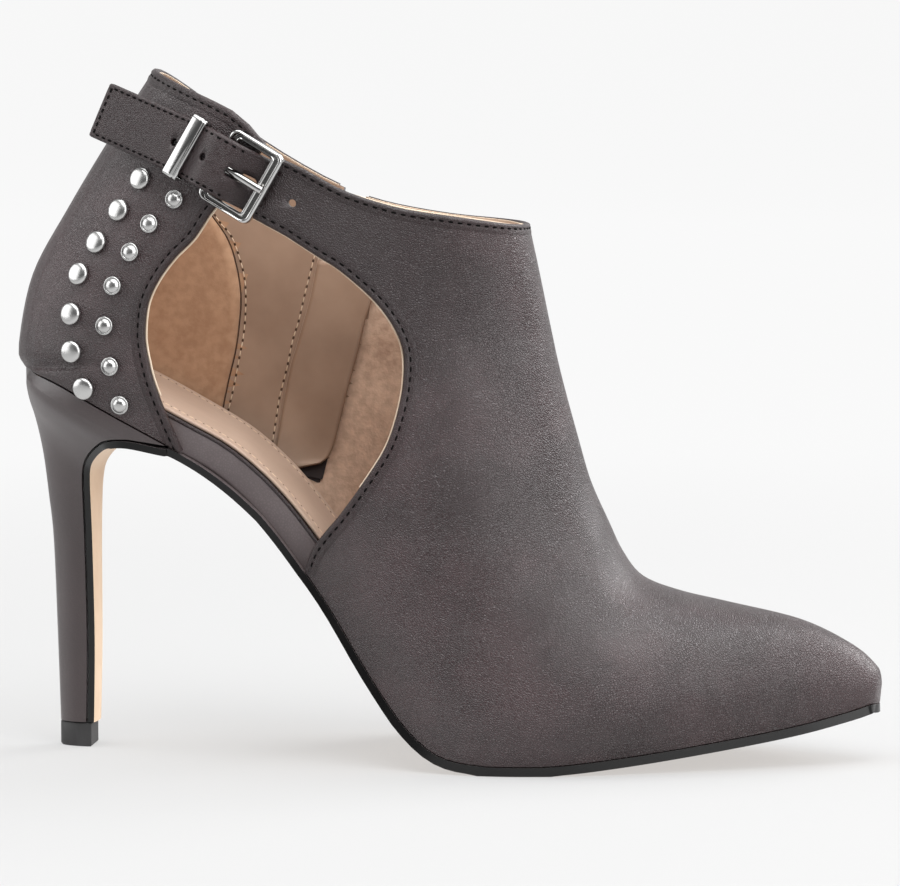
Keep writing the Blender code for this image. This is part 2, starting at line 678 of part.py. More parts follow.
def board_rows(bottom, top, inset, ends):
    """Rows of a board inside the upper, between two shares of the boot's length."""
    outline = {side: inset_outline(side, inset) for side in (LATERAL, MEDIAL)}
    rows = []
    for i, v in enumerate(STATIONS[:CLOSED_AT]):
        x, z = section_at(v)[:2]
        if not along(ends[0]) < x < along(ends[1]):
            continue
        up = path_normal(FOOT_LINE, i)
        lateral, medial = (look_up(outline[side], x) for side in (LATERAL, MEDIAL))
        rows.append((x, z, up, lateral, medial, top(x), bottom(x), 0.0))
    return rows


def rand_height(x):
    """Thickness of the insole board, thick behind the ball and thin in front."""
    thin, thick = along(0.50), along(0.40)
    share = max(0.0, min(1.0, (thin - x) / (thin - thick)))
    return mix(INSOLE_THICKNESS, RAND_THICKNESS, share * share * (3 - 2 * share))


def make_boards(board_finish, sock_finish):
    """Insole board with its wrapped edge, and the sock on it."""
    inset = WALL + 2 * GAP
    rows = board_rows(lambda x: GAP, rand_height, inset, BOARD_ENDS)
    strip("insole", rows, board_finish)
    rows = board_rows(lambda x: rand_height(x) + GAP, lambda x: rand_height(x) + GAP + SOCK_THICKNESS,
                      inset + SOCK_SETBACK, BOARD_ENDS)
    strip("sock", rows, sock_finish)


def box_ring(centre, first, second, half_a, half_b):
    """Four corners of a flat rectangle."""
    return [centre + first * a * half_a + second * b * half_b for a, b in ((-1, -1), (1, -1), (1, 1), (-1, 1))]


class Strap:
    """Line of the strap on the upper, and what sits on it."""

    def __init__(self, shell):
        self.shell = shell
        self.bars = BUCKLE_LENGTH - BUCKLE_BAR
        line = curve([side_xz(p) for p in STRAP_LINE], 8)
        self.track = []
        run = 0.0
        last = None
        for k, (x, z) in enumerate(line):
            here = shell.touch(LATERAL, x, z)[0]
            if here is None or run > KEEPER_REACH + 2 * KEEPER_LENGTH:
                break
            if last is not None:
                run += (here - last).length
            nx, nz = line[min(k + 1, len(line) - 1)]
            px, pz = line[max(k - 1, 0)]
            self.track.append((run, x, z, (nx - px, nz - pz)))
            last = here

    def place(self, run):
        """Point and axes on the upper at a distance along the strap from the right bar."""
        reach = run if run < KEEPER_REACH - 0.8 * KEEPER_LENGTH else KEEPER_REACH
        x = look_up([(t[0], t[1]) for t in self.track], reach)
        z = look_up([(t[0], t[2]) for t in self.track], reach)
        k = min(range(len(self.track)), key=lambda n: abs(self.track[n][0] - reach))
        point, first, across, out = self.shell.frame(LATERAL, x, z, self.track[k][3], STRAP_PROBE)
        return point + first * (run - reach), first, across, out

    def buckle_frame(self):
        """Middle, axes and lift of the flat buckle above the upper."""
        point, first, across, out = self.place(self.bars / 2)
        lift = 0.0
        for a in (-1, -0.5, 0, 0.5, 1):
            for b in (-1, 0, 1):
                spot = point + first * a * BUCKLE_LENGTH / 2 + across * b * (STRAP_WIDTH / 2 + BUCKLE_ARM)
                hit = self.shell.touch(LATERAL, spot.x, spot.z)[0]
                if hit is not None:
                    lift = max(lift, (hit - spot).dot(out))
        return point + out * (lift + GAP), first, across, out

    def heights(self):
        """Pairs of distance along the strap and height of its inner face above the upper."""
        middle, first, _, out = self.buckle_frame()
        left = middle + first * self.bars / 2
        foot = self.place(self.bars)[0]
        over = (left - foot).dot(out) + BUCKLE_THICKNESS + PRONG_DIAMETER + 3 * GAP
        low = KEEPER_THICKNESS + 3 * GAP
        bars = self.bars
        return [
            (0.0, -STRAP_THICKNESS), (0.22 * bars, -STRAP_THICKNESS), (0.42 * bars, 0.16 * over),
            (0.72 * bars, over), (1.25 * bars, over), (1.62 * bars, mix(low, over, 0.35)),
            (KEEPER_REACH - 0.8 * KEEPER_LENGTH, low), (KEEPER_REACH + KEEPER_LENGTH, low), (STRAP_LENGTH, low),
        ]

    def make_strap(self, finish):
        """Strap from the band's end, over the ear, through the keeper to its square end."""
        heights = self.heights()
        runs = sorted({h[0] for h in heights} | {self.bars * k / 10 for k in range(1, 17)}
                      | {mix(KEEPER_REACH, STRAP_LENGTH, k / 5) for k in range(1, 5)})
        runs = [r for n, r in enumerate(runs) if n == 0 or r - runs[n - 1] > GAP]
        rings = []
        for run in runs:
            point, first, across, out = self.place(run)
            level = look_up(heights, run) + STRAP_THICKNESS / 2
            shift = first * GAP if run == 0.0 else Vector()
            middle = point + out * level + shift
            rings.append(box_ring(middle, across, out, STRAP_WIDTH / 2, STRAP_THICKNESS / 2))
        strap = ribbon("strap", rings, finish)
        middle = self.place(0.47 * self.bars)[0]
        cut(strap, hole_cutter("cut_prong_hole", self.shell, (middle.x, middle.z), 0.62 * self.bars))
        for k in (1, 2):
            spot = self.place(0.47 * self.bars + k * HOLE_PITCH)[0]
            cut(strap, hole_cutter(f"cut_strap_hole_{k}", self.shell, (spot.x, spot.z)))
        return strap

    def make_buckle(self, finish):
        """Flat buckle with rounded corners and sloping faces."""
        middle, first, across, out = self.buckle_frame()
        half_a, half_b = BUCKLE_LENGTH / 2, STRAP_WIDTH / 2 + 2 * GAP + BUCKLE_ARM
        in_a, in_b = half_a - BUCKLE_BAR, half_b - BUCKLE_ARM
        slope, corner = BUCKLE_THICKNESS * 0.4, BUCKLE_BAR
        loops = [
            (in_a, in_b, 0.3 * corner, 0.0), (half_a, half_b, corner, 0.0),
            (half_a, half_b, corner, 0.5 * BUCKLE_THICKNESS),
            (half_a - slope, half_b - slope, corner - slope, BUCKLE_THICKNESS),
            (in_a + slope / 2, in_b + slope / 2, 0.3 * corner + slope / 2, BUCKLE_THICKNESS),
            (in_a, in_b, 0.3 * corner, 0.7 * BUCKLE_THICKNESS),
        ]
        points, rings = [], []
        for a, b, radius, height in loops:
            ring = []
            for quarter, (sa, sb) in enumerate(((1, 1), (-1, 1), (-1, -1), (1, -1))):
                for k in range(4):
                    turn = QUARTER * (quarter + k / 3)
                    u = sa * (a - radius) + radius * math.cos(turn)
                    w = sb * (b - radius) + radius * math.sin(turn)
                    ring.append(len(points))
                    points.append(middle + first * u + across * w + out * height)
            rings.append(ring)
        faces = []
        for n, low in enumerate(rings):
            faces += band_faces(low, rings[(n + 1) % len(rings)])
        return solid("buckle_frame", points, faces, finish, 25)

    def make_prong(self, finish):
        """Prong that hooks over the left bar and rests on the right bar."""
        middle, first, across, out = self.buckle_frame()
        radius = PRONG_DIAMETER / 2
        level = BUCKLE_THICKNESS + GAP + radius
        outside = BUCKLE_LENGTH / 2 + GAP + radius
        route = [(outside, radius), (outside, 0.55 * level), (outside - 0.35 * radius, 0.85 * level),
                 (outside - 1.4 * radius, level), (0.0, level), (-self.bars / 2, level),
                 (-self.bars / 2 - BUCKLE_BAR * 0.3, level)]
        rings = []
        for n, (a, b) in enumerate(route):
            (a0, b0), (a1, b1) = route[max(n - 1, 0)], route[min(n + 1, len(route) - 1)]
            ahead = (first * (a1 - a0) + out * (b1 - b0)).normalized()
            up = across.cross(ahead)
            size = radius * (0.7 if n == len(route) - 1 else 1.0)
            rings.append([middle + first * a + out * b
                          + (across * math.cos(t) + up * math.sin(t)) * size
                          for t in (2 * math.pi * k / 8 for k in range(8))])
        return ribbon("buckle_prong", rings, finish)

    def make_keeper(self, finish):
        """Flat metal loop round the strap and its free end."""
        point, first, across, out = self.place(KEEPER_REACH)
        low = KEEPER_THICKNESS + 3 * GAP
        in_b = STRAP_WIDTH / 2 + 1.5 * GAP
        bottom, top = low - 1.3 * GAP, low + STRAP_THICKNESS + 1.5 * GAP
        rings = []
        for a in (-0.5, 0.5):
            at = point + first * a * KEEPER_LENGTH
            outer = [(-in_b - KEEPER_THICKNESS, bottom - KEEPER_THICKNESS * 0.6),
                     (in_b + KEEPER_THICKNESS, bottom - KEEPER_THICKNESS * 0.6),
                     (in_b + KEEPER_THICKNESS, top), (in_b, top + KEEPER_THICKNESS),
                     (-in_b, top + KEEPER_THICKNESS), (-in_b - KEEPER_THICKNESS, top)]
            inner = [(-in_b, bottom), (in_b, bottom), (in_b, top), (in_b - GAP, top), (GAP - in_b, top),
                     (-in_b, top)]
            rings.append([[at + across * b + out * c for b, c in loop] for loop in (outer, inner)])
        (near_out, near_in), (far_out, far_in) = rings
        points = near_out + near_in + far_out + far_in
        faces = []
        for k in range(6):
            n = (k + 1) % 6
            faces += [(k, n, n + 12, k + 12), (k + 6, n + 6, n + 18, k + 18),
                      (k, n, n + 6, k + 6), (k + 12, n + 12, n + 18, k + 18)]
        return solid("keeper", points, faces, finish)


def make_stud(shell, name, place, size, finish):
    """Low domed stud on the counter."""
    point, first, across, out = shell.frame(LATERAL, *side_xz(place), (1.0, 0.0))
    count = 10
    base = point + out * STUD_SEAT
    points, rings = [], []
    for radius, height in ((1.0, 0.0), (1.0, 0.25), (0.82, 0.68), (0.45, 0.94)):
        ring = []
        for k in range(count):
            turn = 2 * math.pi * k / count
            ring.append(len(points))
            points.append(base + (first * math.cos(turn) + across * math.sin(turn)) * radius * size / 2
                          + out * height * STUD_HEIGHT)
        rings.append(ring)
    points.append(base + out * STUD_HEIGHT)
    faces = [tuple(rings[0])]
    for a, b in zip(rings, rings[1:]):
        faces += band_faces(a, b)
    faces += [(rings[-1][k], rings[-1][(k + 1) % count], len(points) - 1) for k in range(count)]
    return solid(name, points, faces, finish, 60)


def zip_places():
    """Places down the zip, from just under the collar to near the sole."""
    line = curve([side_xz(p) for p in ZIP_LINE], 40)
    under = [p for p in line if p[1] < collar_z(MEDIAL, p[0]) - 2 * WALL]
    return [under[round(k * (len(under) - 1) / ZIP_STEPS)] for k in range(ZIP_STEPS + 1)]


def zip_rings(shell, width, outside, inside, places):
    """Rings across the zip's line, between two heights from the upper's outside."""
    rings = []
    for n, (x, z) in enumerate(places):
        (x0, z0), (x1, z1) = places[max(n - 1, 0)], places[min(n + 1, len(places) - 1)]
        point, first, across, out = shell.frame(MEDIAL, x, z, (x1 - x0, z1 - z0))
        side = out.cross(first)
        middle = point + out * (outside + inside) / 2
        rings.append(box_ring(middle, side, out, width / 2, (outside - inside) / 2))
    return rings


def zip_slot(shell):
    """Cutter for the slot in the inner side that the zip fills."""
    places = zip_places()
    rings = zip_rings(shell, ZIP_WIDTH + 2 * GAP, 3 * WALL, -3 * WALL, places)
    up = Vector((places[0][0] - places[1][0], 0, places[0][1] - places[1][1])).normalized()
    rings.insert(0, [p + up * 10 * WALL for p in rings[0]])
    rings[-1] = [p - up * GAP for p in rings[-1]]
    return ribbon("cut_zip", rings, None)


class Zip:
    """Zip in the inner side, with its slider at the top and a hanging pull tab."""

    def __init__(self, shell):
        self.shell = shell
        self.places = zip_places()
        drop = SLIDER_LENGTH * 0.75
        (x0, z0), (x1, z1) = self.places[0], self.places[1]
        size = math.hypot(x1 - x0, z1 - z0)
        x, z = x0 + (x1 - x0) / size * drop, z0 + (z1 - z0) / size * drop
        self.point, self.down, self.side, self.out = shell.frame(MEDIAL, x, z, (x1 - x0, z1 - z0))
        self.side = self.out.cross(self.down)
        self.swing = math.hypot(TAB_BAR, TAB_THICKNESS) / 2 + GAP
        self.top = self.point + self.out * (1.5 * GAP + SLIDER_THICKNESS)
        self.pin = self.top + self.out * self.swing

    def spot(self, origin, down, out):
        """Point at a distance down the zip and outwards from an origin."""
        return origin + self.down * down + self.out * out

    def make_teeth(self, finish):
        """Closed chain of the zip between its two tapes."""
        rings = zip_rings(self.shell, ZIP_WIDTH, -GAP, -GAP - ZIP_THICKNESS, self.places)
        return ribbon("zip_chain", rings, finish)

    def make_slider(self, finish):
        """Slider body with a bridge on top, under which the tab's bar turns."""
        inner, outer, half = self.swing, self.swing + BRIDGE_THICKNESS, SLIDER_LENGTH / 2
        points = []
        rows = ((-half, 0.75), (-outer, 1.0), (-inner, 1.0), (inner, 0.92), (outer, 0.85), (half, 0.6))
        for down, wide in rows:
            edge = wide * SLIDER_WIDTH / 2
            for across, out in ((-edge, -SLIDER_THICKNESS), (edge, -SLIDER_THICKNESS), (edge, 0.0),
                                (BRIDGE_WIDTH / 2, 0.0), (-BRIDGE_WIDTH / 2, 0.0), (-edge, 0.0)):
                points.append(self.spot(self.top, down, out) + self.side * across)
        size, feet = 6, (1, 3)
        faces = [tuple(range(size)), tuple(range(len(points) - size, len(points)))]
        for ring in range(5):
            for k in range(size):
                if k != 3 or ring not in feet:
                    a, b = ring * size + k, ring * size + (k + 1) % size
                    faces.append((a, b, b + size, a + size))
        roots = [(ring * size + 3, ring * size + 4) for ring in (1, 2, 3, 4)]
        tops = []
        low, high = inner + outer, 2 * inner
        for down, out in ((-outer, low), (-inner, high), (inner, high), (outer, low)):
            tops.append((len(points), len(points) + 1))
            points += [self.spot(self.top, down, out) + self.side * side * BRIDGE_WIDTH / 2 for side in (1, -1)]
        for root, top in zip(roots, tops):
            faces.append((*root, *reversed(top)))
        for one, other in ((tops[0], tops[3]), (tops[1], tops[2])):
            faces.append((*one, *reversed(other)))
        for side in (0, 1):
            a, b, c, d = (root[side] for root in roots)
            p, q, r, s = (top[side] for top in tops)
            faces += [(a, b, q, p), (p, q, r, s), (c, d, s, r)]
        return solid("zip_slider", points, faces, finish)

    def window(self):
        """Length of the tab's window below the bar, which clears the bridge as the tab turns."""
        outer = self.swing + BRIDGE_THICKNESS
        return math.hypot(outer, outer) + GAP

    def make_tab(self, finish):
        """Pull tab whose top bar turns under the slider's bridge."""
        far = self.window()
        rings = []
        for down, wide in ((-TAB_BAR / 2, TAB_NECK), (far + TAB_BAR, TAB_NECK), (far + 3 * TAB_BAR, TAB_WIDTH),
                           (0.86 * TAB_LENGTH, TAB_WIDTH), (TAB_LENGTH, 0.6 * TAB_WIDTH)):
            middle = self.spot(self.pin, down, 0.0)
            rings.append(box_ring(middle, self.side, self.out, wide / 2, TAB_THICKNESS / 2))
        tab = ribbon("zip_pull", rings, finish)
        hole = []
        for out in (-TAB_THICKNESS, TAB_THICKNESS):
            middle = self.spot(self.pin, (TAB_BAR / 2 + far) / 2, out)
            hole.append(box_ring(middle, self.down, self.side, (far - TAB_BAR / 2) / 2, BRIDGE_WIDTH / 2 + GAP))
        cutter = ribbon("cut_window", hole, None)
        cut(tab, cutter)
        for piece in (tab, cutter):
            piece.data.transform(Matrix.Translation(-self.pin))
            piece.location = self.pin
        return tab


def main():
    """Build the boot."""
    for old in list(bpy.data.objects):
        bpy.data.objects.remove(old)
    leather = material("brown_leather", (0.055, 0.035, 0.036), 0.45)
    strap_leather = material("strap_leather", (0.045, 0.024, 0.026), 0.42)
    sole_leather = material("sole_leather", (0.62, 0.45, 0.30), 0.6)
    lining = material("tan_lining", (0.48, 0.30, 0.19), 0.7)
    rubber = material("tip_rubber", (0.06, 0.06, 0.06), 0.6)
    chrome = material("chrome", (0.8, 0.8, 0.8), 0.12, 1.0)
    tape = material("zip_metal", (0.25, 0.22, 0.2), 0.35, 1.0)

    shell = Shell()
    make_upper(shell, leather)
    make_outsole(sole_leather)
    make_heel(leather)
    make_top_piece(rubber)
    make_boards(leather, lining)
    strap = Strap(shell)
    strap.make_strap(strap_leather)
    strap.make_buckle(chrome)
    strap.make_prong(chrome)
    strap.make_keeper(chrome)
    for k, place in enumerate(LARGE_STUDS):
        make_stud(shell, f"stud_rear_{k + 1}", place, STUD_LARGE, chrome)
    for k, place in enumerate(SMALL_STUDS):
        make_stud(shell, f"stud_front_{k + 1}", place, STUD_SMALL, chrome)
    closure = Zip(shell)
    closure.make_teeth(tape)
    closure.make_slider(chrome)
    closure.make_tab(chrome)


main()
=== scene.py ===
"""Right stiletto ankle boot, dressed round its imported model.

Metres, +Z up. +X runs to the toe, +Y to the inner side of the foot. The origin is the centre of
the heel tip's bottom face, on the floor.
"""

from __future__ import annotations

import logging
import math
from collections import namedtuple
from collections.abc import Callable
from dataclasses import dataclass, field
from enum import Enum

import bmesh
import bpy
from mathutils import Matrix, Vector
from mathutils.bvhtree import BVHTree

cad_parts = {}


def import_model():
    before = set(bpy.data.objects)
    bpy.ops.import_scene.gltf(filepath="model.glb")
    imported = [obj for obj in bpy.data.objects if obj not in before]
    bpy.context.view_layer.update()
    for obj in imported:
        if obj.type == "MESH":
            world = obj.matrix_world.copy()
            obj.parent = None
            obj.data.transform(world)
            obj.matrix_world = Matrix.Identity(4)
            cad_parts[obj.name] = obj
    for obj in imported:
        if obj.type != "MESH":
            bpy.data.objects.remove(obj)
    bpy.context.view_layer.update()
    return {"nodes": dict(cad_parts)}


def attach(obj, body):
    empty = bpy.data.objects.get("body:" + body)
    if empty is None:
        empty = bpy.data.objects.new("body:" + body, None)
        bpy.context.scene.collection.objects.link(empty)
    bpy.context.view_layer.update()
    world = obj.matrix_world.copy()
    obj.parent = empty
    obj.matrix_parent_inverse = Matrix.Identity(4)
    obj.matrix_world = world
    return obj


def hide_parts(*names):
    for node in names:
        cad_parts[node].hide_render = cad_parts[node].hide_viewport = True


log = logging.getLogger("boot")

MM = 0.001
QUARTER = math.pi / 2
WALL = 0.002
GAP = 0.0003
BOARD_INSET = WALL + 2 * GAP
PINHOLE = 0.0021
BOOT = "boot"

# One row for each section of the last, from the toe to the collar, as in the part's source
Section = namedtuple(
    "Section",
    "foot_x toe_z heel_z shaft_z width lateral medial front_x front_z "
    "swell_l swell_m swell_at dome tail ridge steps",
)
SECTIONS = [Section(*row) for row in (
    (0.998, 0.99, 0, 0, "ball", -0.027, 0.027, 1, 0.054, -0.027, 0.027, 0.4, 2, 1, 0.027, 1),
    (0.995, 0.99, 0, 0, "ball", 0.011, 0.06, 0.9985, 0.072, 0.015, 0.064, 0.38, 2, 1, 0.028, 1),
    (0.9878, 1, 0, 0, "ball", 0.045, 0.09, 0.9926, 0.088, 0.057, 0.102, 0.36, 2, 1, 0.03, 1),
    (0.9637, 0.88, 0, 0, "ball", 0.086, 0.122, 0.9663, 0.1351, 0.103, 0.14, 0.35, 2.1, 1, 0.033, 2),
    (0.9024, 0.634, 0, 0, "ball", 0.171, 0.21, 0.9068, 0.203, 0.192, 0.232, 0.33, 2.1, 1, 0.04, 2),
    (0.8106, 0.374, 0, 0, "ball", 0.286, 0.325, 0.8215, 0.2573, 0.314, 0.356, 0.3, 2.1, 1, 0.047, 2),
    (0.7143, 0.145, 0, 0, "ball", 0.393, 0.43, 0.766, 0.2981, 0.427, 0.467, 0.27, 2, 1, 0.047, 2),
    (0.6356, 0.01, 0, 0, "ball", 0.461, 0.495, 0.7244, 0.3374, 0.498, 0.533, 0.25, 1.95, 1, 0.04, 2),
    (0.5656, 0, 0, 0, "ball", 0.482, 0.516, 0.7003, 0.3874, 0.52, 0.554, 0.22, 1.9, 1, 0.034, 2),
    (0.4956, 0, 0.0374, 0, "ball", 0.449, 0.471, 0.6833, 0.4475, 0.498, 0.525, 0.22, 1.9, 1, 0.027, 2),
    (0.4256, 0, 0.2136, 0, "ball", 0.385, 0.374, 0.6623, 0.5275, 0.454, 0.467, 0.28, 1.9, 1, 0.02, 2),
    (0.3469, 0, 0.505, 0, "waist", 0.54, 0.46, 0.6435, 0.6362, 0.537, 0.527, 0.36, 2, 1, 0.014, 3),
    (0.2682, 0, 0.694, 0, "waist", 0.526, 0.5, 0.6321, 0.7048, 0.509, 0.498, 0.37, 2.1, 1, 0.007, 1),
    (0.2332, 0, 0.7425, 0, "waist", 0.547, 0.538, 0.6295, 0.7248, 0.502, 0.491, 0.36, 2.15, 1, 0.005, 1),
    (0.2025, 0, 0.783, 0, "seat", 0.49, 0.49, 0.6269, 0.7398, 0.498, 0.489, 0.35, 2.2, 1, 0.003, 2),
    (0.1282, 0, 0.871, 0, "seat", 0.496, 0.496, 0.6234, 0.767, 0.5, 0.495, 0.35, 2.2, 1.1, 0, 1),
    (0.0669, 0, 0.94, 0, "seat", 0.424, 0.424, 0.6212, 0.7863, 0.5, 0.495, 0.355, 2.2, 1.5, 0, 2),
    (0.0276, 0, 0.9685, 0, "seat", 0.264, 0.264, 0.6199, 0.7956, 0.5, 0.495, 0.365, 2.2, 2.1, 0, 2),
    (0.0048, 0, 0.984, 0, "shaft", 0, 0, 0.619, 0.802, 0.5, 0.495, 0.375, 2.2, 2.55, 0, 1),
    (0, 0, 0.984, 0.066, "shaft", 0, 0, 0.6172, 0.817, 0.5, 0.495, 0.375, 2.2, 2.55, 0, 2),
    (0.0166, 0, 0.984, 0.302, "shaft", 0, 0, 0.6133, 0.8449, 0.493, 0.489, 0.38, 2.2, 2.35, 0, 2),
    (0.0582, 0, 0.984, 0.5255, "shaft", 0, 0, 0.6085, 0.8856, 0.489, 0.488, 0.4, 2.2, 2.1, 0, 2),
    (0.1063, 0, 0.984, 0.755, "shaft", 0, 0, 0.6015, 0.9357, 0.498, 0.498, 0.44, 2.2, 2, 0, 2),
    (0.1597, 0, 0.984, 0.99, "shaft", 0, 0, 0.5928, 1, 0.512, 0.512, 0.5, 2.2, 2, 0, 1),
)]
FIRST_CLOSED = 18
LAST_ROW = len(SECTIONS) - 1

COLLAR_LATERAL = [(0.0, 1.0), (0.04, 1.01), (0.132, 0.897), (0.225, 0.782), (0.304, 0.639), (0.382, 0.446),
                  (0.439, 0.381), (0.531, 0.256), (0.596, 0.193), (0.701, 0.118), (0.857, 0.055), (1.0, 0.0)]
COLLAR_MEDIAL = [(0.0, 1.0), (0.109, 0.764), (0.235, 0.526), (0.339, 0.361), (0.441, 0.228), (0.568, 0.108),
                 (0.779, 0.022), (1.0, 0.0)]
COUNTER_EDGE = [(0.2157, -0.03), (0.207, 0.0), (0.2008, 0.032), (0.1859, 0.109), (0.1763, 0.163),
                (0.1689, 0.232), (0.1667, 0.289), (0.1706, 0.372), (0.1833, 0.454), (0.2021, 0.536),
                (0.2244, 0.614), (0.2445, 0.708)]
EAR_TIP = [(0.2703, 0.807), (0.2913, 0.895), (0.3023, 0.931), (0.3084, 0.955), (0.304, 0.972), (0.29, 0.997)]
VAMP_EDGE = [(0.332, 0.763), (0.3683, 0.761), (0.3933, 0.762), (0.43, 0.749), (0.4519, 0.725),
             (0.4641, 0.689), (0.4654, 0.632), (0.4589, 0.5635), (0.4466, 0.485), (0.4243, 0.385),
             (0.3946, 0.247), (0.3753, 0.157), (0.3578, 0.066), (0.3447, -0.04)]
STRAP_LINE = [(0.3062, 0.8406), (0.2616, 0.8486), (0.2157, 0.848), (0.1654, 0.844), (0.115, 0.836)]
BAND_HOLE = (0.3395, 0.846)
ZIP_LINE = [(0.385, 1.06), (0.3664, 0.74), (0.3475, 0.5), (0.332, 0.3), (0.314, 0.085)]
LARGE_STUDS = [(0.1605, 0.7), (0.135, 0.583), (0.109, 0.462), (0.0885, 0.348), (0.08, 0.224),
               (0.081, 0.118), (0.096, 0.033)]
SMALL_STUDS = [(0.2035, 0.693), (0.174, 0.592), (0.1515, 0.487), (0.1315, 0.369), (0.122, 0.245),
               (0.1285, 0.139), (0.1395, 0.045)]

HeelRow = namedtuple("HeelRow", "front_x front_z back_x back_z half power")
HEEL_ROWS = [HeelRow(*row) for row in (
    (0.31, 0.0, -0.7, 0.0, 0.092, 2.0),
    (0.37, 0.212, -0.775, 0.212, 0.102, 2.0),
    (0.35, 0.447, -0.888, 0.475, 0.122, 2.0),
    (0.34, 0.566, -1.04, 0.595, 0.147, 2.0),
    (0.35, 0.634, -1.19, 0.693, 0.176, 2.1),
    (0.42, 0.677, -1.325, 0.757, 0.212, 2.2),
    (0.63, 0.709, -1.49, 0.816, 0.276, 2.3),
    (1.03, 0.74, -1.65, 0.86, 0.366, 2.4),
    (1.5, 0.76, -1.735, 0.9, 0.446, 2.5),
    (2.25, 0.765, -1.765, 0.922, 0.488, 2.6),
)]
SEAT_FRONT = (0.1894, 0.7864)

# Lines of the lining on the inner wall's inside face, x and z in millimetres
COUNTER_LINING = [(2, 172), (9, 166), (17.5, 158), (25.5, 149.5), (31.4, 140.7), (35.9, 133.6),
                  (38.2, 125.7), (39.1, 118.1), (38.5, 110.5), (37.5, 103.6), (35.7, 96), (34.1, 87.6), (33, 80)]
LINING_STITCH = [(29, 146.5), (33.7, 138.8), (36.9, 134.7), (39.3, 127.9), (40.4, 122.7), (40.6, 118.1),
                 (40.4, 112.5), (39.8, 107.4), (38.8, 102.3), (37.3, 94.3), (35.7, 86.9), (34.9, 83)]
LINING_SEAM = [(62, 140), (59.2, 128.7), (57, 120.2), (55.1, 112.2), (53.4, 106.9), (51.7, 99.2),
               (49.8, 91.6), (49.2, 87.8), (48.2, 79.5)]
LINING_RIDGE = [(63.4, 140), (60.5, 128.5), (58.4, 118.3), (56.4, 111.4), (54.5, 105), (52.7, 99.2),
                (50.6, 87.8), (49.2, 78), (48, 71.5)]
GUARD_EDGE = [(79, 128.5), (76.8, 122.5), (74.6, 115.8), (73.2, 111.6), (71.7, 105.1), (70.1, 99.4),
              (68.6, 94.1), (67.1, 88), (65.6, 82), (64.3, 77.5), (62.4, 74.6), (58.5, 72.9), (54, 72.6)]
# Dark patch on the wall below the zip guard's lower end, a painted shadow: height, then the left and right side, in
# millimetres
GUARD_SHADOW = ((68.8, 60.4, 61.2), (70.5, 57, 61.6), (72.5, 53.5, 61.9), (74.5, 51.5, 62))
COUNTER_BACK = [(80, 12), (96, -6), (100, -9), (130, -8), (150, 0), (172, 10)]

# Soft troughs and ridges of the upper: side, two ends in x and z, half-width and depth, in millimetres
CREASES = [
    (-1, (133, 62), (118, 30), 4.5, 0.45), (-1, (146, 50), (128, 16), 5.0, 0.4),
    (-1, (122, 84), (104, 52), 5.5, -0.35), (-1, (140, 56), (124, 24), 3.5, -0.3),
    (-1, (158, 40), (142, 14), 5.0, 0.25), (-1, (84, 134), (97, 116), 5.0, 0.3),
    (-1, (93, 142), (108, 120), 5.0, -0.25), (-1, (112, 106), (126, 80), 6.0, 0.3),
    (1, (133, 62), (116, 30), 4.5, 0.45), (1, (148, 50), (130, 18), 5.0, 0.4),
    (1, (140, 58), (122, 24), 3.5, -0.3), (1, (96, 140), (112, 112), 5.5, 0.3),
    (1, (22, 150), (30, 128), 6.0, 0.3), (1, (8, 128), (18, 104), 5.5, -0.25),
]
# Place along a stitch, as a share of its length, and thickness there
STITCH_ENDS = ((-0.5, 0.35), (-0.38, 0.85), (0.0, 1.0), (0.38, 0.85), (0.5, 0.35))

Colour = tuple[float, float, float]
Rows = list[tuple[float, ...]]
Pairs = list[tuple[float, float]]
Ring = list[Vector]
Marks = list[tuple[Vector, Vector]]
Axes = tuple[Vector, Vector, Vector, Vector]
Socket, Node, Tree = bpy.types.NodeSocket, bpy.types.Node, bpy.types.NodeTree
Piece, Material = bpy.types.Object, bpy.types.Material


class Side(Enum):
    """Side of the foot, with the sign of its y."""

    LATERAL = -1
    MEDIAL = 1


def mix(a: float, b: float, t: float) -> float:
    """Value a part t of the way from a to b."""
    return a + (b - a) * t


def spline(rows: Rows, t: float) -> tuple[float, ...]:
    """Find a point on the smooth curve through rows of numbers.

    Args:
        rows: The rows that the curve passes.
        t: Row number, whole or not.

    Returns:
        The row of numbers at t.
    """
    i = max(0, min(int(t), len(rows) - 2))
    f = t - i
    a, b = rows[max(i - 1, 0)], rows[i]
    c, d = rows[i + 1], rows[min(i + 2, len(rows) - 1)]
    return tuple(
        0.5 * (2 * q + (r - p) * f + (2 * p - 5 * q + 4 * r - s) * f * f + (3 * q - p - 3 * r + s) * f**3)
        for p, q, r, s in zip(a, b, c, d)
    )


def curve(rows: Rows, steps: int) -> Rows:
    """Points on the smooth curve through rows, a number of steps to each span."""
    return [spline(rows, i / steps) for i in range((len(rows) - 1) * steps + 1)]


def look_up(pairs: Pairs, x: float) -> float:
    """Read the second number of pairs, sorted by the first, at x along straight lines.

    Args:
        pairs: Numbers in two columns.
        x: Value in the first column.

    Returns:
        The value in the second column.
    """
    if x <= pairs[0][0]:
        return pairs[0][1]
    for (x0, z0), (x1, z1) in zip(pairs, pairs[1:]):
        if x <= x1:
            return mix(z0, z1, (x - x0) / max(x1 - x0, 1e-9))
    return pairs[-1][1]


def beside(rows: list, n: int) -> tuple:
    """Rows before and after row n, or row n itself at an end."""
    return rows[max(n - 1, 0)], rows[min(n + 1, len(rows) - 1)]


def path_normal(points: Rows, i: int) -> Vector:
    """Upward normal, in x and z, of a line of points that runs from the toe to the heel."""
    before, after = beside(points, i)
    run, rise = after[0] - before[0], after[1] - before[1]
    size = math.hypot(run, rise)
    return Vector((rise / size, 0.0, -run / size))


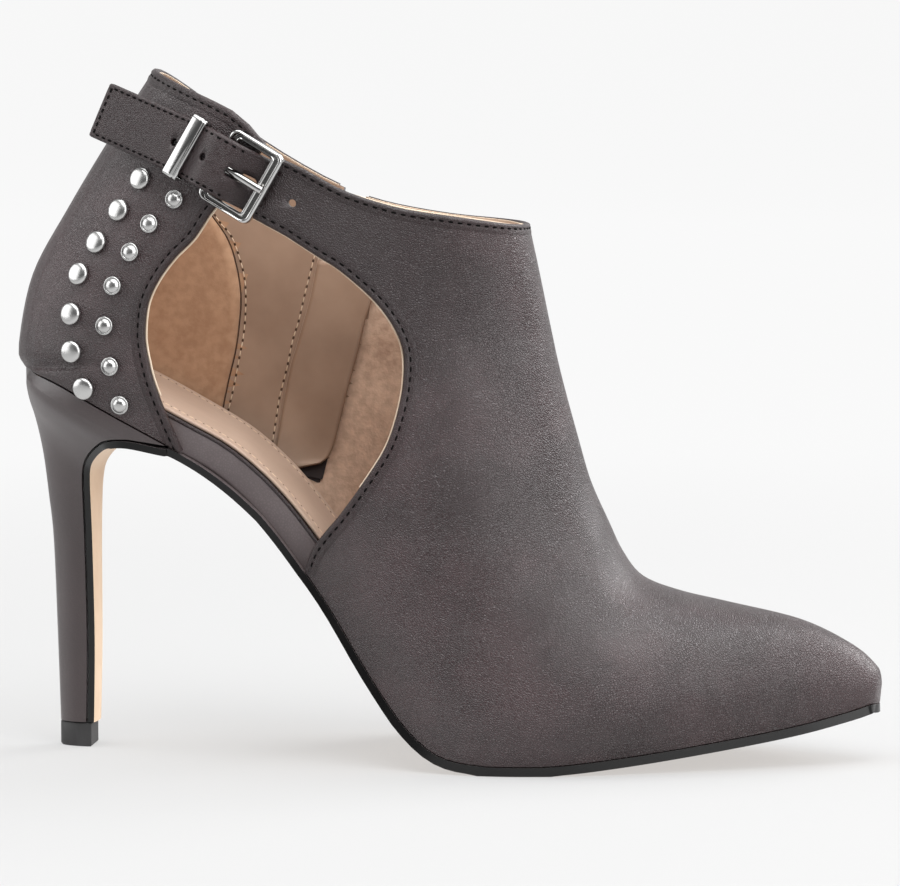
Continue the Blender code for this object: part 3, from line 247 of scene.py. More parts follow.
def around(middle: Vector, a: Vector, b: Vector, count: int) -> Ring:
    """Even points of a ring about its middle, from two axes as long as its radii."""
    turns = [4 * QUARTER * k / count for k in range(count)]
    return [middle + a * math.cos(t) + b * math.sin(t) for t in turns]


def walls(rings: int, count: int, start: int = 0, closed: bool = False) -> list[tuple[int, ...]]:
    """List the faces between neighbouring rings of points.

    Args:
        rings: Number of rings.
        count: Points in each.
        start: Number of the first point.
        closed: Whether the last ring joins the first.

    Returns:
        Corner numbers of each face.
    """
    faces = []
    for i in range(rings if closed else rings - 1):
        a, b = start + i * count, start + (i + 1) % rings * count
        for k in range(count):
            n = (k + 1) % count
            faces.append((a + k, a + n, b + n, b + k))
    return faces


def rounded(middle: Vector, a: Vector, b: Vector, box: tuple[float, float, float], radius: float,
            steps: int) -> Ring:
    """Points round a rectangle with round corners.

    Args:
        middle: Where its axes meet.
        a: First axis.
        b: Second axis.
        box: Reach of the corners' centres along a either way, and their upper and lower place along b.
        radius: Radius of the corners.
        steps: Number of edges to a corner.

    Returns:
        Its points.
    """
    half, high, low = box
    ring = []
    for quarter, (u, w) in enumerate(((half, high), (-half, high), (-half, low), (half, low))):
        for k in range(steps + 1):
            turn = QUARTER * (quarter + k / steps)
            ring.append(middle + a * (u + radius * math.cos(turn)) + b * (w + radius * math.sin(turn)))
    return ring


def stand(name: str, data: bpy.types.ID) -> Piece:
    """Put an object with some data in the scene."""
    made = bpy.data.objects.new(name, data)
    bpy.context.scene.collection.objects.link(made)
    return made


def aim(made: Piece, azimuth: float, elevation: float, distance: float, target: Vector) -> None:
    """Put a light or the camera at a direction in degrees from its target, and turn it there."""
    a, e = math.radians(azimuth), math.radians(elevation)
    away = Vector((math.sin(a) * math.cos(e), -math.cos(a) * math.cos(e), math.sin(e)))
    made.location = target + away * distance
    made.rotation_euler = away.to_track_quat("Z", "Y").to_euler()


def spaced(points: Ring, pitch: float, start: float = 0.5) -> Marks:
    """Place marks along a line at an even pitch.

    Args:
        points: Corners of the line.
        pitch: Distance between marks.
        start: Where the first mark lies, as a share of the pitch.

    Returns:
        Pairs of place and direction along the line.
    """
    marks, due, run = [], start * pitch, 0.0
    for a, b in zip(points, points[1:]):
        length = (b - a).length
        while length > 0 and due <= run + length:
            marks.append((a.lerp(b, (due - run) / length), (b - a) / length))
            due += pitch
        run += length
    return marks


# Finishes


@dataclass
class NodePen:
    """Draws nodes and links in one node tree."""

    tree: Tree

    def add(self, kind: str, **values: object) -> Node:
        """Add a node and set its plain properties."""
        node = self.tree.nodes.new(kind)
        for name, value in values.items():
            setattr(node, name, value)
        return node

    def join(self, source: Socket, target: Socket) -> None:
        """Link two sockets."""
        self.tree.links.new(source, target)

    def feed(self, target: Socket, value: object) -> None:
        """Give a socket a plain value, or link another socket to it."""
        if isinstance(value, Socket):
            self.join(value, target)
        else:
            target.default_value = value

    def math(self, operation: str, a: object, b: object = 0.0) -> Socket:
        """Add a Math node.

        Args:
            operation: Blender's name for it.
            a: First value, a number or a socket.
            b: Second value, a number or a socket.

        Returns:
            The node's output.
        """
        node = self.add("ShaderNodeMath", operation=operation)
        self.feed(node.inputs[0], a)
        self.feed(node.inputs[1], b)
        return node.outputs[0]

    def place(self) -> Socket:
        """Place of each spot on its object, in metres."""
        return self.add("ShaderNodeTexCoord").outputs["Object"]

    def away(self, spot: Colour) -> Socket:
        """Distance of each place from a spot, in metres."""
        node = self.add("ShaderNodeVectorMath", operation="DISTANCE")
        self.join(self.place(), node.inputs[0])
        node.inputs[1].default_value = spot
        return node.outputs["Value"]

    def blend(self, factor: Socket, low: object, high: object) -> Socket:
        """Mix two colours by a value, each of them three numbers or a socket."""
        node = self.add("ShaderNodeMix", data_type="RGBA")
        for slot, colour in ((6, low), (7, high)):
            self.feed(node.inputs[slot], (*colour, 1.0) if isinstance(colour, tuple) else colour)
        self.join(factor, node.inputs["Factor"])
        return node.outputs[2]

    def noise(self, scale: object, detail: float, vector: Socket) -> Socket:
        """Noise value from 0 to 1.

        Args:
            scale: Number, or socket, of lumps to the metre.
            detail: How many finer layers it has.
            vector: Where the pattern is read.

        Returns:
            The noise's value.
        """
        node = self.add("ShaderNodeTexNoise")
        node.inputs["Detail"].default_value = detail
        self.feed(node.inputs["Scale"], scale)
        self.join(vector, node.inputs["Vector"])
        return node.outputs["Fac"]

    def ramp(self, value: Socket, low: float, high: float) -> Socket:
        """Value stretched so that low is 0 and high is 1, smooth at both ends."""
        node = self.add("ShaderNodeMapRange", interpolation_type="SMOOTHSTEP")
        self.join(value, node.inputs["Value"])
        node.inputs["From Min"].default_value = low
        node.inputs["From Max"].default_value = high
        return node.outputs["Result"]


def new_group(name: str, inputs: dict[str, float], outputs: tuple[str, ...]) -> tuple[NodePen, dict, dict]:
    """Start a shader node group with value sockets.

    Args:
        name: Name of the group.
        inputs: Names and start values of what it takes.
        outputs: Names of what it puts out.

    Returns:
        The pen of its tree, its input sockets and its output sockets.
    """
    tree = bpy.data.node_groups.new(name, "ShaderNodeTree")
    for label, value in inputs.items():
        tree.interface.new_socket(label, in_out="INPUT", socket_type="NodeSocketFloat").default_value = value
    for label in outputs:
        tree.interface.new_socket(label, in_out="OUTPUT", socket_type="NodeSocketFloat")
    pen = NodePen(tree)
    start, end = pen.add("NodeGroupInput"), pen.add("NodeGroupOutput")
    return pen, {k: start.outputs[k] for k in inputs}, {k: end.inputs[k] for k in outputs}


@dataclass
class Effects:
    """The shared node groups: pebbled grain, nap and tone."""

    grain: Tree = field(init=False)
    nap: Tree = field(init=False)
    tone: Tree = field(init=False)

    def __post_init__(self) -> None:
        """Build the three groups once."""
        self.grain = self.make_grain()
        self.nap = self.make_nap()
        self.tone = self.make_tone()

    def make_grain(self) -> Tree:
        """Pebbled grain: small cells with creases between them.

        Returns:
            The node group.
        """
        pen, given, out = new_group("PebbledGrain", {"Cells": 1400.0, "Wander": 0.0004}, ("Height", "Crease"))
        place = pen.place()
        stray = pen.add("ShaderNodeTexNoise")
        stray.inputs["Scale"].default_value = 700.0
        stray.inputs["Detail"].default_value = 1.0
        pen.join(place, stray.inputs["Vector"])
        centred = pen.add("ShaderNodeVectorMath", operation="SUBTRACT")
        pen.join(stray.outputs["Color"], centred.inputs[0])
        centred.inputs[1].default_value = (0.5, 0.5, 0.5)
        scaled = pen.add("ShaderNodeVectorMath", operation="SCALE")
        pen.join(centred.outputs[0], scaled.inputs[0])
        pen.join(given["Wander"], scaled.inputs["Scale"])
        moved = pen.add("ShaderNodeVectorMath", operation="ADD")
        pen.join(place, moved.inputs[0])
        pen.join(scaled.outputs[0], moved.inputs[1])
        cells = pen.add("ShaderNodeTexVoronoi", feature="DISTANCE_TO_EDGE")
        pen.join(given["Cells"], cells.inputs["Scale"])
        pen.join(moved.outputs[0], cells.inputs["Vector"])
        edge = pen.ramp(cells.outputs["Distance"], 0.0, 0.28)
        fine = pen.noise(5200.0, 2.0, place)
        patch = pen.ramp(pen.noise(95.0, 2.0, place), 0.3, 0.7)
        strength = pen.math("ADD", pen.math("MULTIPLY", patch, 0.45), 0.55)
        pebble = pen.math("MULTIPLY", edge, strength)
        pen.join(pen.math("ADD", pebble, pen.math("MULTIPLY", fine, 0.25)), out["Height"])
        pen.join(pen.math("SUBTRACT", 1.0, edge), out["Crease"])
        return pen.tree

    def make_nap(self) -> Tree:
        """Suede nap: fine fibres with brushed patches.

        Returns:
            The node group.
        """
        pen, given, out = new_group("SuedeNap", {"Fibres": 2200.0}, ("Height", "Brush"))
        place = pen.place()
        fine = pen.noise(given["Fibres"], 3.0, place)
        lumps = pen.noise(620.0, 2.0, place)
        pen.join(pen.math("ADD", pen.math("MULTIPLY", fine, 0.55), pen.math("MULTIPLY", lumps, 0.6)), out["Height"])
        mottle = pen.ramp(pen.noise(420.0, 3.0, place), 0.28, 0.72)
        wide = pen.ramp(pen.noise(48.0, 2.0, place), 0.25, 0.75)
        pen.join(pen.math("ADD", pen.math("MULTIPLY", mottle, 0.5), pen.math("MULTIPLY", wide, 0.5)), out["Brush"])
        return pen.tree

    def make_tone(self) -> Tree:
        """Slow changes of tone, and the polish that goes with them.

        Returns:
            The node group.
        """
        pen, given, out = new_group("HideTone", {"Patches": 40.0}, ("Tone", "Polish"))
        place = pen.place()
        wide = pen.ramp(pen.noise(given["Patches"], 3.0, place), 0.28, 0.72)
        fine = pen.noise(330.0, 3.0, place)
        pen.join(pen.math("ADD", pen.math("MULTIPLY", wide, 0.65), pen.math("MULTIPLY", fine, 0.35)), out["Tone"])
        pen.join(pen.noise(130.0, 2.0, place), out["Polish"])
        return pen.tree


@dataclass(frozen=True)
class Finish:
    """What every finish shares: two colours that mix over the surface, gloss and relief."""

    name: str
    dark: Colour
    light: Colour
    roughness: float
    relief: float = 0.0001
    bump: float = 0.5
    coat: float = 0.0
    coat_roughness: float = 0.3
    specular: float = 0.5
    metallic: float = 0.0
    sheen: float = 0.0
    spread: float = 0.08

    def start(self) -> tuple[NodePen, Node, Material]:
        """Make the material with its shader and plain values.

        Returns:
            The pen, the shader node and the material.
        """
        made = bpy.data.materials.new(self.name)
        made.use_nodes = True
        shader = made.node_tree.nodes["Principled BSDF"]
        plain = {"Metallic": self.metallic, "Coat Weight": self.coat, "Coat Roughness": self.coat_roughness,
                 "Specular IOR Level": self.specular, "Sheen Weight": self.sheen}
        for socket, value in plain.items():
            shader.inputs[socket].default_value = value
        made.diffuse_color = (*self.light, 1.0)
        return NodePen(made.node_tree), shader, made

    def paint(self, pen: NodePen, shader: Node, tone: Socket) -> None:
        """Mix the two colours by a tone value into the shader's base colour."""
        pen.join(pen.blend(tone, self.dark, self.light), shader.inputs["Base Color"])

    def gloss(self, pen: NodePen, shader: Node, value: Socket) -> None:
        """Let a value from 0 to 1 move the roughness either way by half the spread."""
        moved = pen.math("ADD", pen.math("MULTIPLY", value, self.spread), self.roughness - self.spread / 2)
        pen.join(moved, shader.inputs["Roughness"])

    def emboss(self, pen: NodePen, shader: Node, height: Socket) -> None:
        """Feed a height to the shader's normal."""
        bump = pen.add("ShaderNodeBump")
        bump.inputs["Strength"].default_value = self.bump
        bump.inputs["Distance"].default_value = self.relief
        pen.join(height, bump.inputs["Height"])
        pen.join(bump.outputs["Normal"], shader.inputs["Normal"])

    def group(self, pen: NodePen, tree: Tree, **values: float) -> Node:
        """Place a shared group with this finish's own values."""
        node = pen.add("ShaderNodeGroup", node_tree=tree)
        for label, value in values.items():
            node.inputs[label].default_value = value
        return node


@dataclass(frozen=True)
class Leather(Finish):
    """Pebbled leather, smooth and softly polished."""

    cells: float = 1400.0
    patches: float = 40.0
    spread: float = 0.12
    sunk: float = 0.45
    # Painted shade round the band: how much tone it takes off, the spot it centres on and its reach
    painted_shade: float = 0.0
    painted_shade_at: tuple[float, float, float] = (0.066, -0.03, 0.136)
    painted_shade_reach: tuple[float, float] = (0.016, 0.048)

    def paint_band_shade(self, pen: NodePen, tone: Socket) -> Socket:
        """Take tone off round the band: painted shade that darkens the leather's colour there."""
        near = pen.math("SUBTRACT", 1.0, pen.ramp(pen.away(self.painted_shade_at), *self.painted_shade_reach))
        return pen.math("SUBTRACT", tone, pen.math("MULTIPLY", near, self.painted_shade))

    def make(self, effects: Effects) -> Material:
        """Build the leather's material."""
        pen, shader, made = self.start()
        grain = self.group(pen, effects.grain, Cells=self.cells)
        tone = self.group(pen, effects.tone, Patches=self.patches)
        sunk = pen.math("MULTIPLY", grain.outputs["Crease"], self.sunk)
        self.paint(pen, shader, self.paint_band_shade(pen, pen.math("SUBTRACT", tone.outputs["Tone"], sunk)))
        self.gloss(pen, shader, tone.outputs["Polish"])
        self.emboss(pen, shader, grain.outputs["Height"])
        return made


@dataclass(frozen=True)
class Suede(Finish):
    """Brushed lining with a nap."""

    fibres: float = 2200.0

    def make(self, effects: Effects) -> Material:
        """Build the suede's material."""
        pen, shader, made = self.start()
        nap = self.group(pen, effects.nap, Fibres=self.fibres)
        self.paint(pen, shader, nap.outputs["Brush"])
        self.gloss(pen, shader, nap.outputs["Brush"])
        self.emboss(pen, shader, nap.outputs["Height"])
        return made


@dataclass(frozen=True)
class Plain(Finish):
    """Even finish, such as polished metal, rubber, thread, sole edge or smooth lining."""

    patches: float = 120.0

    def make(self, effects: Effects) -> Material:
        """Build the plain finish's material."""
        pen, shader, made = self.start()
        tone = self.group(pen, effects.tone, Patches=self.patches)
        self.paint(pen, shader, tone.outputs["Tone"])
        self.gloss(pen, shader, tone.outputs["Polish"])
        self.emboss(pen, shader, tone.outputs["Tone"])
        return made


FINISHES = (
    # The first two leathers darken their colour round the band: painted shade
    Leather("brown_leather", (0.018, 0.0075, 0.0085), (0.053, 0.0255, 0.028), 0.38, relief=0.00024, bump=0.95,
            coat=0.15, specular=0.68, cells=1650.0, painted_shade=0.6),
    # A darker, redder copy of the brown leather for the strap, the folded edges and the rand bead: its darker
    # colour is painted shade
    Leather("shaded_leather", (0.013, 0.0045, 0.0052), (0.036, 0.0155, 0.017), 0.38, relief=0.0002, bump=0.8,
            coat=0.1, specular=0.54, cells=1900.0, painted_shade=0.4),
    Leather("heel_leather", (0.024, 0.0125, 0.013), (0.046, 0.027, 0.028), 0.38, relief=0.00006, bump=0.4,
            coat=0.25, coat_roughness=0.28, specular=0.8, patches=25.0, cells=1900.0),
    Leather("rand_leather", (0.1, 0.08, 0.081), (0.15, 0.124, 0.125), 0.45, relief=0.00003, bump=0.25,
            coat=0.1, patches=25.0),
    Suede("tan_suede", (0.33, 0.18, 0.1), (0.5, 0.305, 0.185), 0.86, relief=0.00014, bump=0.55, sheen=0.12),
    Suede("coarse_suede", (0.41, 0.265, 0.185), (0.75, 0.54, 0.4), 0.84, relief=0.00026, bump=0.8, fibres=1300.0,
          sheen=0.15),
    Plain("smooth_lining", (0.27, 0.172, 0.115), (0.37, 0.25, 0.175), 0.5, relief=0.00003, bump=0.3, patches=60.0),
    Plain("sock_lining", (0.41, 0.295, 0.225), (0.5, 0.37, 0.29), 0.5, relief=0.00003, bump=0.3, patches=60.0),
    Plain("lining_edge", (0.55, 0.42, 0.3), (0.78, 0.66, 0.52), 0.7, relief=0.00005),
    Plain("black_edge", (0.002, 0.002, 0.002), (0.006, 0.0055, 0.0055), 0.24, relief=0.00003, bump=0.2,
          specular=0.3, coat=0.15, coat_roughness=0.1),
    Plain("beige_sole", (0.62, 0.45, 0.31), (0.8, 0.63, 0.47), 0.55, relief=0.00005, bump=0.3, patches=35.0),
    Plain("tip_rubber", (0.015, 0.0145, 0.015), (0.034, 0.033, 0.034), 0.6, relief=0.00006, bump=0.4),
    Plain("chrome", (0.5, 0.495, 0.49), (0.58, 0.58, 0.575), 0.12, relief=0.00001, bump=0.1, metallic=1.0,
          spread=0.06),
    Plain("stud_metal", (0.46, 0.455, 0.45), (0.56, 0.56, 0.555), 0.27, relief=0.00001, bump=0.1, metallic=1.0,
          spread=0.06),
    Plain("zip_metal", (0.3, 0.26, 0.22), (0.52, 0.47, 0.41), 0.3, relief=0.00002, bump=0.2, metallic=1.0),
    Suede("zip_tape", (0.012, 0.008, 0.008), (0.03, 0.02, 0.02), 0.8, relief=0.0002, bump=0.7, fibres=1800.0),
    Plain("dark_thread", (0.0008, 0.0006, 0.0006), (0.003, 0.002, 0.002), 0.75, relief=0.00005, specular=0.1),
    Plain("light_thread", (0.62, 0.46, 0.32), (0.8, 0.66, 0.5), 0.6, relief=0.00005),
    Plain("needle_hole", (0.05, 0.022, 0.01), (0.09, 0.045, 0.022), 0.8),
)


# Mesh tools


@dataclass
class Bench:
    """Makes pieces, dresses them and ties them to their CAD body."""

    materials: dict[str, Material]
    made: list[str] = field(default_factory=list)

    def mesh(self, name: str, points: Ring, faces: list, finishes: tuple[str, ...],
             which: list[int] | None = None, sharp: float = 40.0) -> Piece:
        """Make an object from points and faces.

        Args:
            name: Its name.
            points: Its corners.
            faces: Corner numbers of each face.
            finishes: Names of its finishes.
            which: Number of the finish of each face.
            sharp: Angle in degrees above which an edge stays sharp.

        Returns:
            The object.
        """
        mesh = bpy.data.meshes.new(name)
        shape = bmesh.new()
        corners = [shape.verts.new(p) for p in points]
        for number, face in enumerate(faces):
            ring = [n for k, n in enumerate(face) if n != face[k - 1]]
            if len(set(ring)) > 2:
                made = shape.faces.new([corners[n] for n in ring])
                made.material_index = which[number] if which else 0
        loose = [v for v in shape.verts if not v.link_faces]
        bmesh.ops.delete(shape, geom=loose, context="VERTS")
        bmesh.ops.recalc_face_normals(shape, faces=shape.faces)
        shape.to_mesh(mesh)
        shape.free()
        for finish in finishes:
            mesh.materials.append(self.materials[finish])
        mesh.shade_smooth()
        mesh.set_sharp_from_angle(angle=math.radians(sharp))
        return stand(name, mesh)

    def loft(self, name: str, rings: list[Ring], finishes: tuple[str, ...], sharp: float = 40.0,
             closed: bool = False) -> Piece:
        """Make a solid from closed rings with the same number of points.

        Args:
            name: Its name.
            rings: Its rings in order.
            finishes: Names of its finishes.
            sharp: Angle in degrees above which an edge stays sharp.
            closed: Whether the last ring joins the first, with no caps.

        Returns:
            The object.
        """
        count, points = len(rings[0]), [p for ring in rings for p in ring]
        caps = [] if closed else [tuple(range(count)), tuple(range(len(points) - 1, len(points) - count - 1, -1))]
        return self.mesh(name, points, caps + walls(len(rings), count, closed=closed), finishes, sharp=sharp)

    def keep(self, piece: Piece, slot: str, *nodes: str) -> None:
        """Tie a piece to the boot's body, and let it stand for CAD nodes.

        Args:
            piece: The piece.
            slot: Not used.
            nodes: CAD nodes that it replaces.
        """
        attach(piece, BOOT)
        if nodes:
            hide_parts(*nodes)
        self.made.append(piece.name)
        log.info("%s: %d faces", piece.name, len(piece.data.polygons))

    def cut(self, target: Piece, cutter: Piece) -> None:
        """Take a closed shape out of a piece, and drop the shape."""
        step = target.modifiers.new(cutter.name, "BOOLEAN")
        step.object = cutter
        step.solver = "EXACT"
        bpy.context.view_layer.update()
        graph = bpy.context.evaluated_depsgraph_get()
        mesh = bpy.data.meshes.new_from_object(target.evaluated_get(graph))
        target.modifiers.clear()
        old, target.data = target.data, mesh
        bpy.data.meshes.remove(old)
        bpy.data.objects.remove(cutter)
        mesh.name = target.name

    def bevel(self, piece: Piece, width: float, segments: int = 3) -> None:
        """Round a piece's sharp edges."""
        step = piece.modifiers.new("rounded", "BEVEL")
        step.width = width
        step.segments = segments
        step.limit_method = "ANGLE"
        step.angle_limit = math.radians(40)
        step.harden_normals = False


@dataclass(frozen=True)
class Stitch:
    """One stitch, in millimetres: its size, and how far its middle lies off the surface."""

    length: float
    wide: float
    high: float
    lift: float = 0.0


@dataclass
class Batch:
    """Corners and faces of many small shapes that make one piece."""

    points: Ring = field(default_factory=list)
    faces: list = field(default_factory=list)

    def rings(self, rings: list[Ring]) -> None:
        """Add a solid made of rings."""
        start, count = len(self.points), len(rings[0])
        self.points += [p for ring in rings for p in ring]
        end = len(self.points)
        self.faces += [tuple(range(start, start + count)), tuple(range(end - 1, end - count - 1, -1))]
        self.faces += walls(len(rings), count, start)

    def thread(self, spot: Vector, along: Vector, out: Vector, stitch: Stitch) -> None:
        """Add one stitch, a short rounded length of thread that lies on a surface."""
        side = out.cross(along).normalized() * (stitch.wide / 2 * MM)
        middle, up = spot + out * stitch.lift * MM, out * (stitch.high / 2 * MM)
        self.rings([around(middle + along * at * stitch.length * MM, side * size, up * size, 6)
                    for at, size in STITCH_ENDS])


# The last


@dataclass
class Last:
    """Surface of the upper: its outside, its inside wall and the lines drawn on them."""

    length: float = 0.2286
    heel_set: float = 0.0153
    heel_height: float = 0.1016
    shaft_rise: float = 0.0784
    front_height: float = 0.14
    toe_spring: float = 0.0131
    ball_width: float = 0.0735
    waist_width: float = 0.0426
    seat_width: float = 0.05
    counter_width: float = 0.0566
    sole_thickness: float = 0.0023
    fineness: int = 3
    low_steps: int = 12
    high_steps: int = 24
    arch_rows: tuple[float, float] = (9.5, 16.0)
    shaft_from: float = 10.0
    ease_rows: float = 1.5
    collar_ease: float = 1.2
    crease_rim: float = 0.012
    halvings: int = 24

    def __post_init__(self) -> None:
        """Work out the grid and its two skins."""
        self.values = [self.section_values(row) for row in SECTIONS]
        self.stations = [
            i + k / (SECTIONS[i].steps * self.fineness)
            for i in range(LAST_ROW) for k in range(SECTIONS[i].steps * self.fineness)
        ] + [float(LAST_ROW)]
        self.closed_at = min(range(len(self.stations)), key=lambda i: abs(self.stations[i] - FIRST_CLOSED))
        self.foot_line = [self.section_at(v)[:2] for v in self.stations[: self.closed_at + 1]]
        self.foot_pairs = sorted(tuple(p) for p in self.foot_line)
        self.peak = self.values[LAST_ROW][:2]
        self.brow = self.values[LAST_ROW][2:4]
        self.collars = {Side.LATERAL: curve(COLLAR_LATERAL, 4), Side.MEDIAL: curve(COLLAR_MEDIAL, 4)}
        self.side_steps = self.low_steps + self.high_steps
        self.points: Ring = []
        self.index: dict[tuple[int, int, int], int] = {}
        self.faces: list[list[int]] = []
        self.fill_grid()
        self.normals = self.point_normals()
        self.crease()
        self.inner = [p - n * WALL for p, n in zip(self.points, self.normals)]
        self.outer_tree = BVHTree.FromPolygons(self.points, self.faces, epsilon=0.0)
        self.inner_tree = BVHTree.FromPolygons(self.inner, self.faces, epsilon=0.0)

    def along(self, share: float) -> float:
        """Distance along the boot, from a share of its length."""
        return share * self.length - self.heel_set

    def section_values(self, row: Section) -> tuple[float, ...]:
        """Section row in metres."""
        widths = {"ball": self.ball_width, "waist": self.waist_width, "seat": self.seat_width,
                  "shaft": self.seat_width}
        width = widths[row.width]
        girth = self.ball_width if row.width == "ball" else self.counter_width
        lift = row.toe_z * self.toe_spring
        foot_z = self.sole_thickness + GAP + lift + row.heel_z * self.heel_height + row.shaft_z * self.shaft_rise
        return (
            self.along(row.foot_x), foot_z, self.along(row.front_x), row.front_z * self.front_height + lift,
            row.lateral * width, row.medial * width, row.swell_l * girth, row.swell_m * girth,
            row.swell_at, row.dome, row.tail, row.ridge * self.ball_width,
        )

    def section_at(self, v: float) -> list[float]:
        """Section values at row number v, eased under the arch, with the sole line never below the tread."""
        values = list(spline(self.values, v))
        (low, high), ease = self.arch_rows, self.ease_rows
        arch = max(0.0, min(1.0, (v - low) / ease, (high - v) / ease))
        shaft = max(0.0, min(1.0, (v - self.shaft_from) / ease, (LAST_ROW - v) / self.collar_ease))
        if arch > 0 or shaft > 0:
            near = [spline(self.values, v + d / 4) for d in range(-4, 5)]
            for share, columns in ((arch, (0, 1)), (shaft, (2, 3, 6, 7, 8, 9, 10))):
                for column in columns:
                    values[column] = mix(values[column], sum(row[column] for row in near) / len(near), share)
        values[1] = max(values[1], self.sole_thickness + GAP)
        return values

    def last_point(self, v: float, side: Side, s: float) -> Vector:
        """Find a point on the outside of the upper.

        Args:
            v: Row number, from the toe to the collar.
            side: Side of the foot.
            s: Share of the way from the sole's edge to the top line.

        Returns:
            The point.
        """
        fx, fz, tx, tz, lateral, medial, swell_l, swell_m, at, dome, tail, ridge = self.section_at(v)
        outer = side is Side.LATERAL
        edge, swell, top = (lateral, swell_l, -ridge) if outer else (medial, swell_m, ridge)
        share = self.low_steps / self.side_steps
        if s < share:
            turn = s / share * QUARTER
            u = at * (1 - math.cos(turn))
            y = edge + (swell - edge) * math.sin(turn) ** (2 / tail)
        else:
            turn = (s - share) / (1 - share) * QUARTER
            u = at + (1 - at) * math.sin(turn) ** (2 / dome)
            y = top + (swell - top) * max(math.cos(turn), 0.0) ** (2 / dome)
        return Vector((mix(fx, tx, u), side.value * y, mix(fz, tz, u)))

    def brow_z(self, x: float) -> float:
        """Height of the straight line from the back peak to the front of the collar."""
        return mix(self.peak[1], self.brow[1], (x - self.peak[0]) / (self.brow[0] - self.peak[0]))

    def place(self, spot: tuple[float, float]) -> tuple[float, float]:
        """Spot on the upper's side, as x and z."""
        x = self.along(spot[0])
        return x, mix(look_up(self.foot_pairs, x), self.brow_z(x), spot[1])

    def collar_z(self, side: Side, x: float) -> float:
        """Height of the collar on one side."""
        share = (x - self.peak[0]) / (self.brow[0] - self.peak[0])
        return mix(self.brow[1], self.peak[1], look_up(self.collars[side], share))

    def collar_row(self, side: Side, s: float) -> float:
        """Row number at which the upper ends, at s on one side."""
        low, high = float(FIRST_CLOSED), float(LAST_ROW)
        point = self.last_point(high, side, s)
        if point.z <= self.collar_z(side, point.x):
            return high
        for _ in range(self.halvings):
            middle = (low + high) / 2
            point = self.last_point(middle, side, s)
            if point.z > self.collar_z(side, point.x):
                high = middle
            else:
                low = middle
        return high

    def key(self, i: int, side: Side, k: int) -> tuple[int, int, int]:
        """Name of a grid point, the same where the two sides meet."""
        shared = k == self.side_steps or i == 0 or (k == 0 and i >= self.closed_at)
        return i, 0 if shared else side.value, k

    def at(self, i: int, side: Side, k: int) -> int:
        """Number of a grid point."""
        return self.index[self.key(i, side, k)]

    def fill_grid(self) -> None:
        """Work out the grid points and the faces between them."""
        rows = {(side, k): self.collar_row(side, k / self.side_steps)
                for side in Side for k in range(self.side_steps + 1)}
        for i, station in enumerate(self.stations):
            for side in Side:
                for k in range(self.side_steps + 1):
                    key = self.key(i, side, k)
                    if key in self.index:
                        continue
                    v = station
                    if v > FIRST_CLOSED:
                        v = mix(FIRST_CLOSED, rows[(side, k)], (v - FIRST_CLOSED) / (LAST_ROW - FIRST_CLOSED))
                    self.index[key] = len(self.points)
                    self.points.append(self.last_point(v, side, k / self.side_steps))
        for i in range(len(self.stations) - 1):
            for side in Side:
                for k in range(self.side_steps):
                    ring = [self.at(i, side, k), self.at(i + 1, side, k),
                            self.at(i + 1, side, k + 1), self.at(i, side, k + 1)]
                    self.faces.append(ring if side is Side.MEDIAL else ring[::-1])

    def point_normals(self) -> Ring:
        """Outward normal at each grid point, in the plane of the sole along its edge."""
        sums = [Vector() for _ in self.points]
        for ring in self.faces:
            corners = [self.points[n] for n in ring]
            normal = (corners[2] - corners[0]).cross(corners[3] - corners[1])
            for n in ring:
                sums[n] += normal
        for i in range(self.closed_at + 1):
            up = path_normal(self.foot_line, i)
            for side in Side:
                n = self.at(i, side, 0)
                sums[n] = sums[n] - up * sums[n].dot(up)
        return [s.normalized() for s in sums]

    def crease(self) -> None:
        """Press the soft troughs and ridges into the grid."""
        for n, (point, normal) in enumerate(zip(self.points, self.normals)):
            push = 0.0
            for side, low, high, width, depth in CREASES:
                if point.y * side <= 0:
                    continue
                a, b = Vector(low) * MM, Vector(high) * MM
                spot = Vector((point.x, point.z)) - a
                share = min(1.0, max(0.0, spot.dot(b - a) / (b - a).length_squared))
                apart = (spot - (b - a) * share).length / (width * MM)
                ends = 1.0 - 0.5 * (2 * share - 1) ** 2
                rim = min(1.0, abs(point.y) / self.crease_rim)
                push += depth * MM * math.exp(-apart * apart) * ends * rim
            self.points[n] = point - normal * push

    def touch(self, side: Side, x: float, z: float, inside: bool = False) -> Vector | None:
        """Point on one side at x and z, on the outside or on the wall's inside."""
        tree = self.inner_tree if inside else self.outer_tree
        return tree.ray_cast(Vector((x, side.value * 0.2, z)), Vector((0, -side.value, 0)))[0]

    def frame(self, side: Side, x: float, z: float, ahead: tuple[float, float], reach: float = 0.003,
              inside: bool = False) -> Axes:
        """Find a point on one side with axes.

        Args:
            side: Side of the foot.
            x: Distance along the boot.
            z: Height.
            ahead: Direction of the first axis, in x and z.
            reach: How far apart the slope is read.
            inside: Whether it lies on the wall's inside.

        Returns:
            The point, and the axes ahead, across and away from the foot.
        """
        point = self.touch(side, x, z, inside)
        hits = [self.touch(side, x + dx, z + dz, inside) for dx, dz in
                ((reach, 0), (-reach, 0), (0, reach), (0, -reach))]
        near = [point if hit is None else hit for hit in hits]
        out = (near[0] - near[1]).cross(near[2] - near[3]).normalized()
        if out.y * side.value < 0:
            out = -out
        first = Vector((ahead[0], 0, ahead[1]))
        first = (first - out * first.dot(out)).normalized()
        across = out.cross(first)
        return point, first, across if across.z >= 0 else -across, out

    def band_end(self) -> tuple[tuple[float, float], tuple[float, float]]:
        """Middle of the line where the band ends and the strap begins, and its lean in x and z."""
        (x0, z0), (x1, z1) = self.place(STRAP_LINE[0]), self.place(STRAP_LINE[1])
        size = math.hypot(x1 - x0, z1 - z0)
        return (x0, z0), (-(z0 - z1) / size, (x0 - x1) / size)


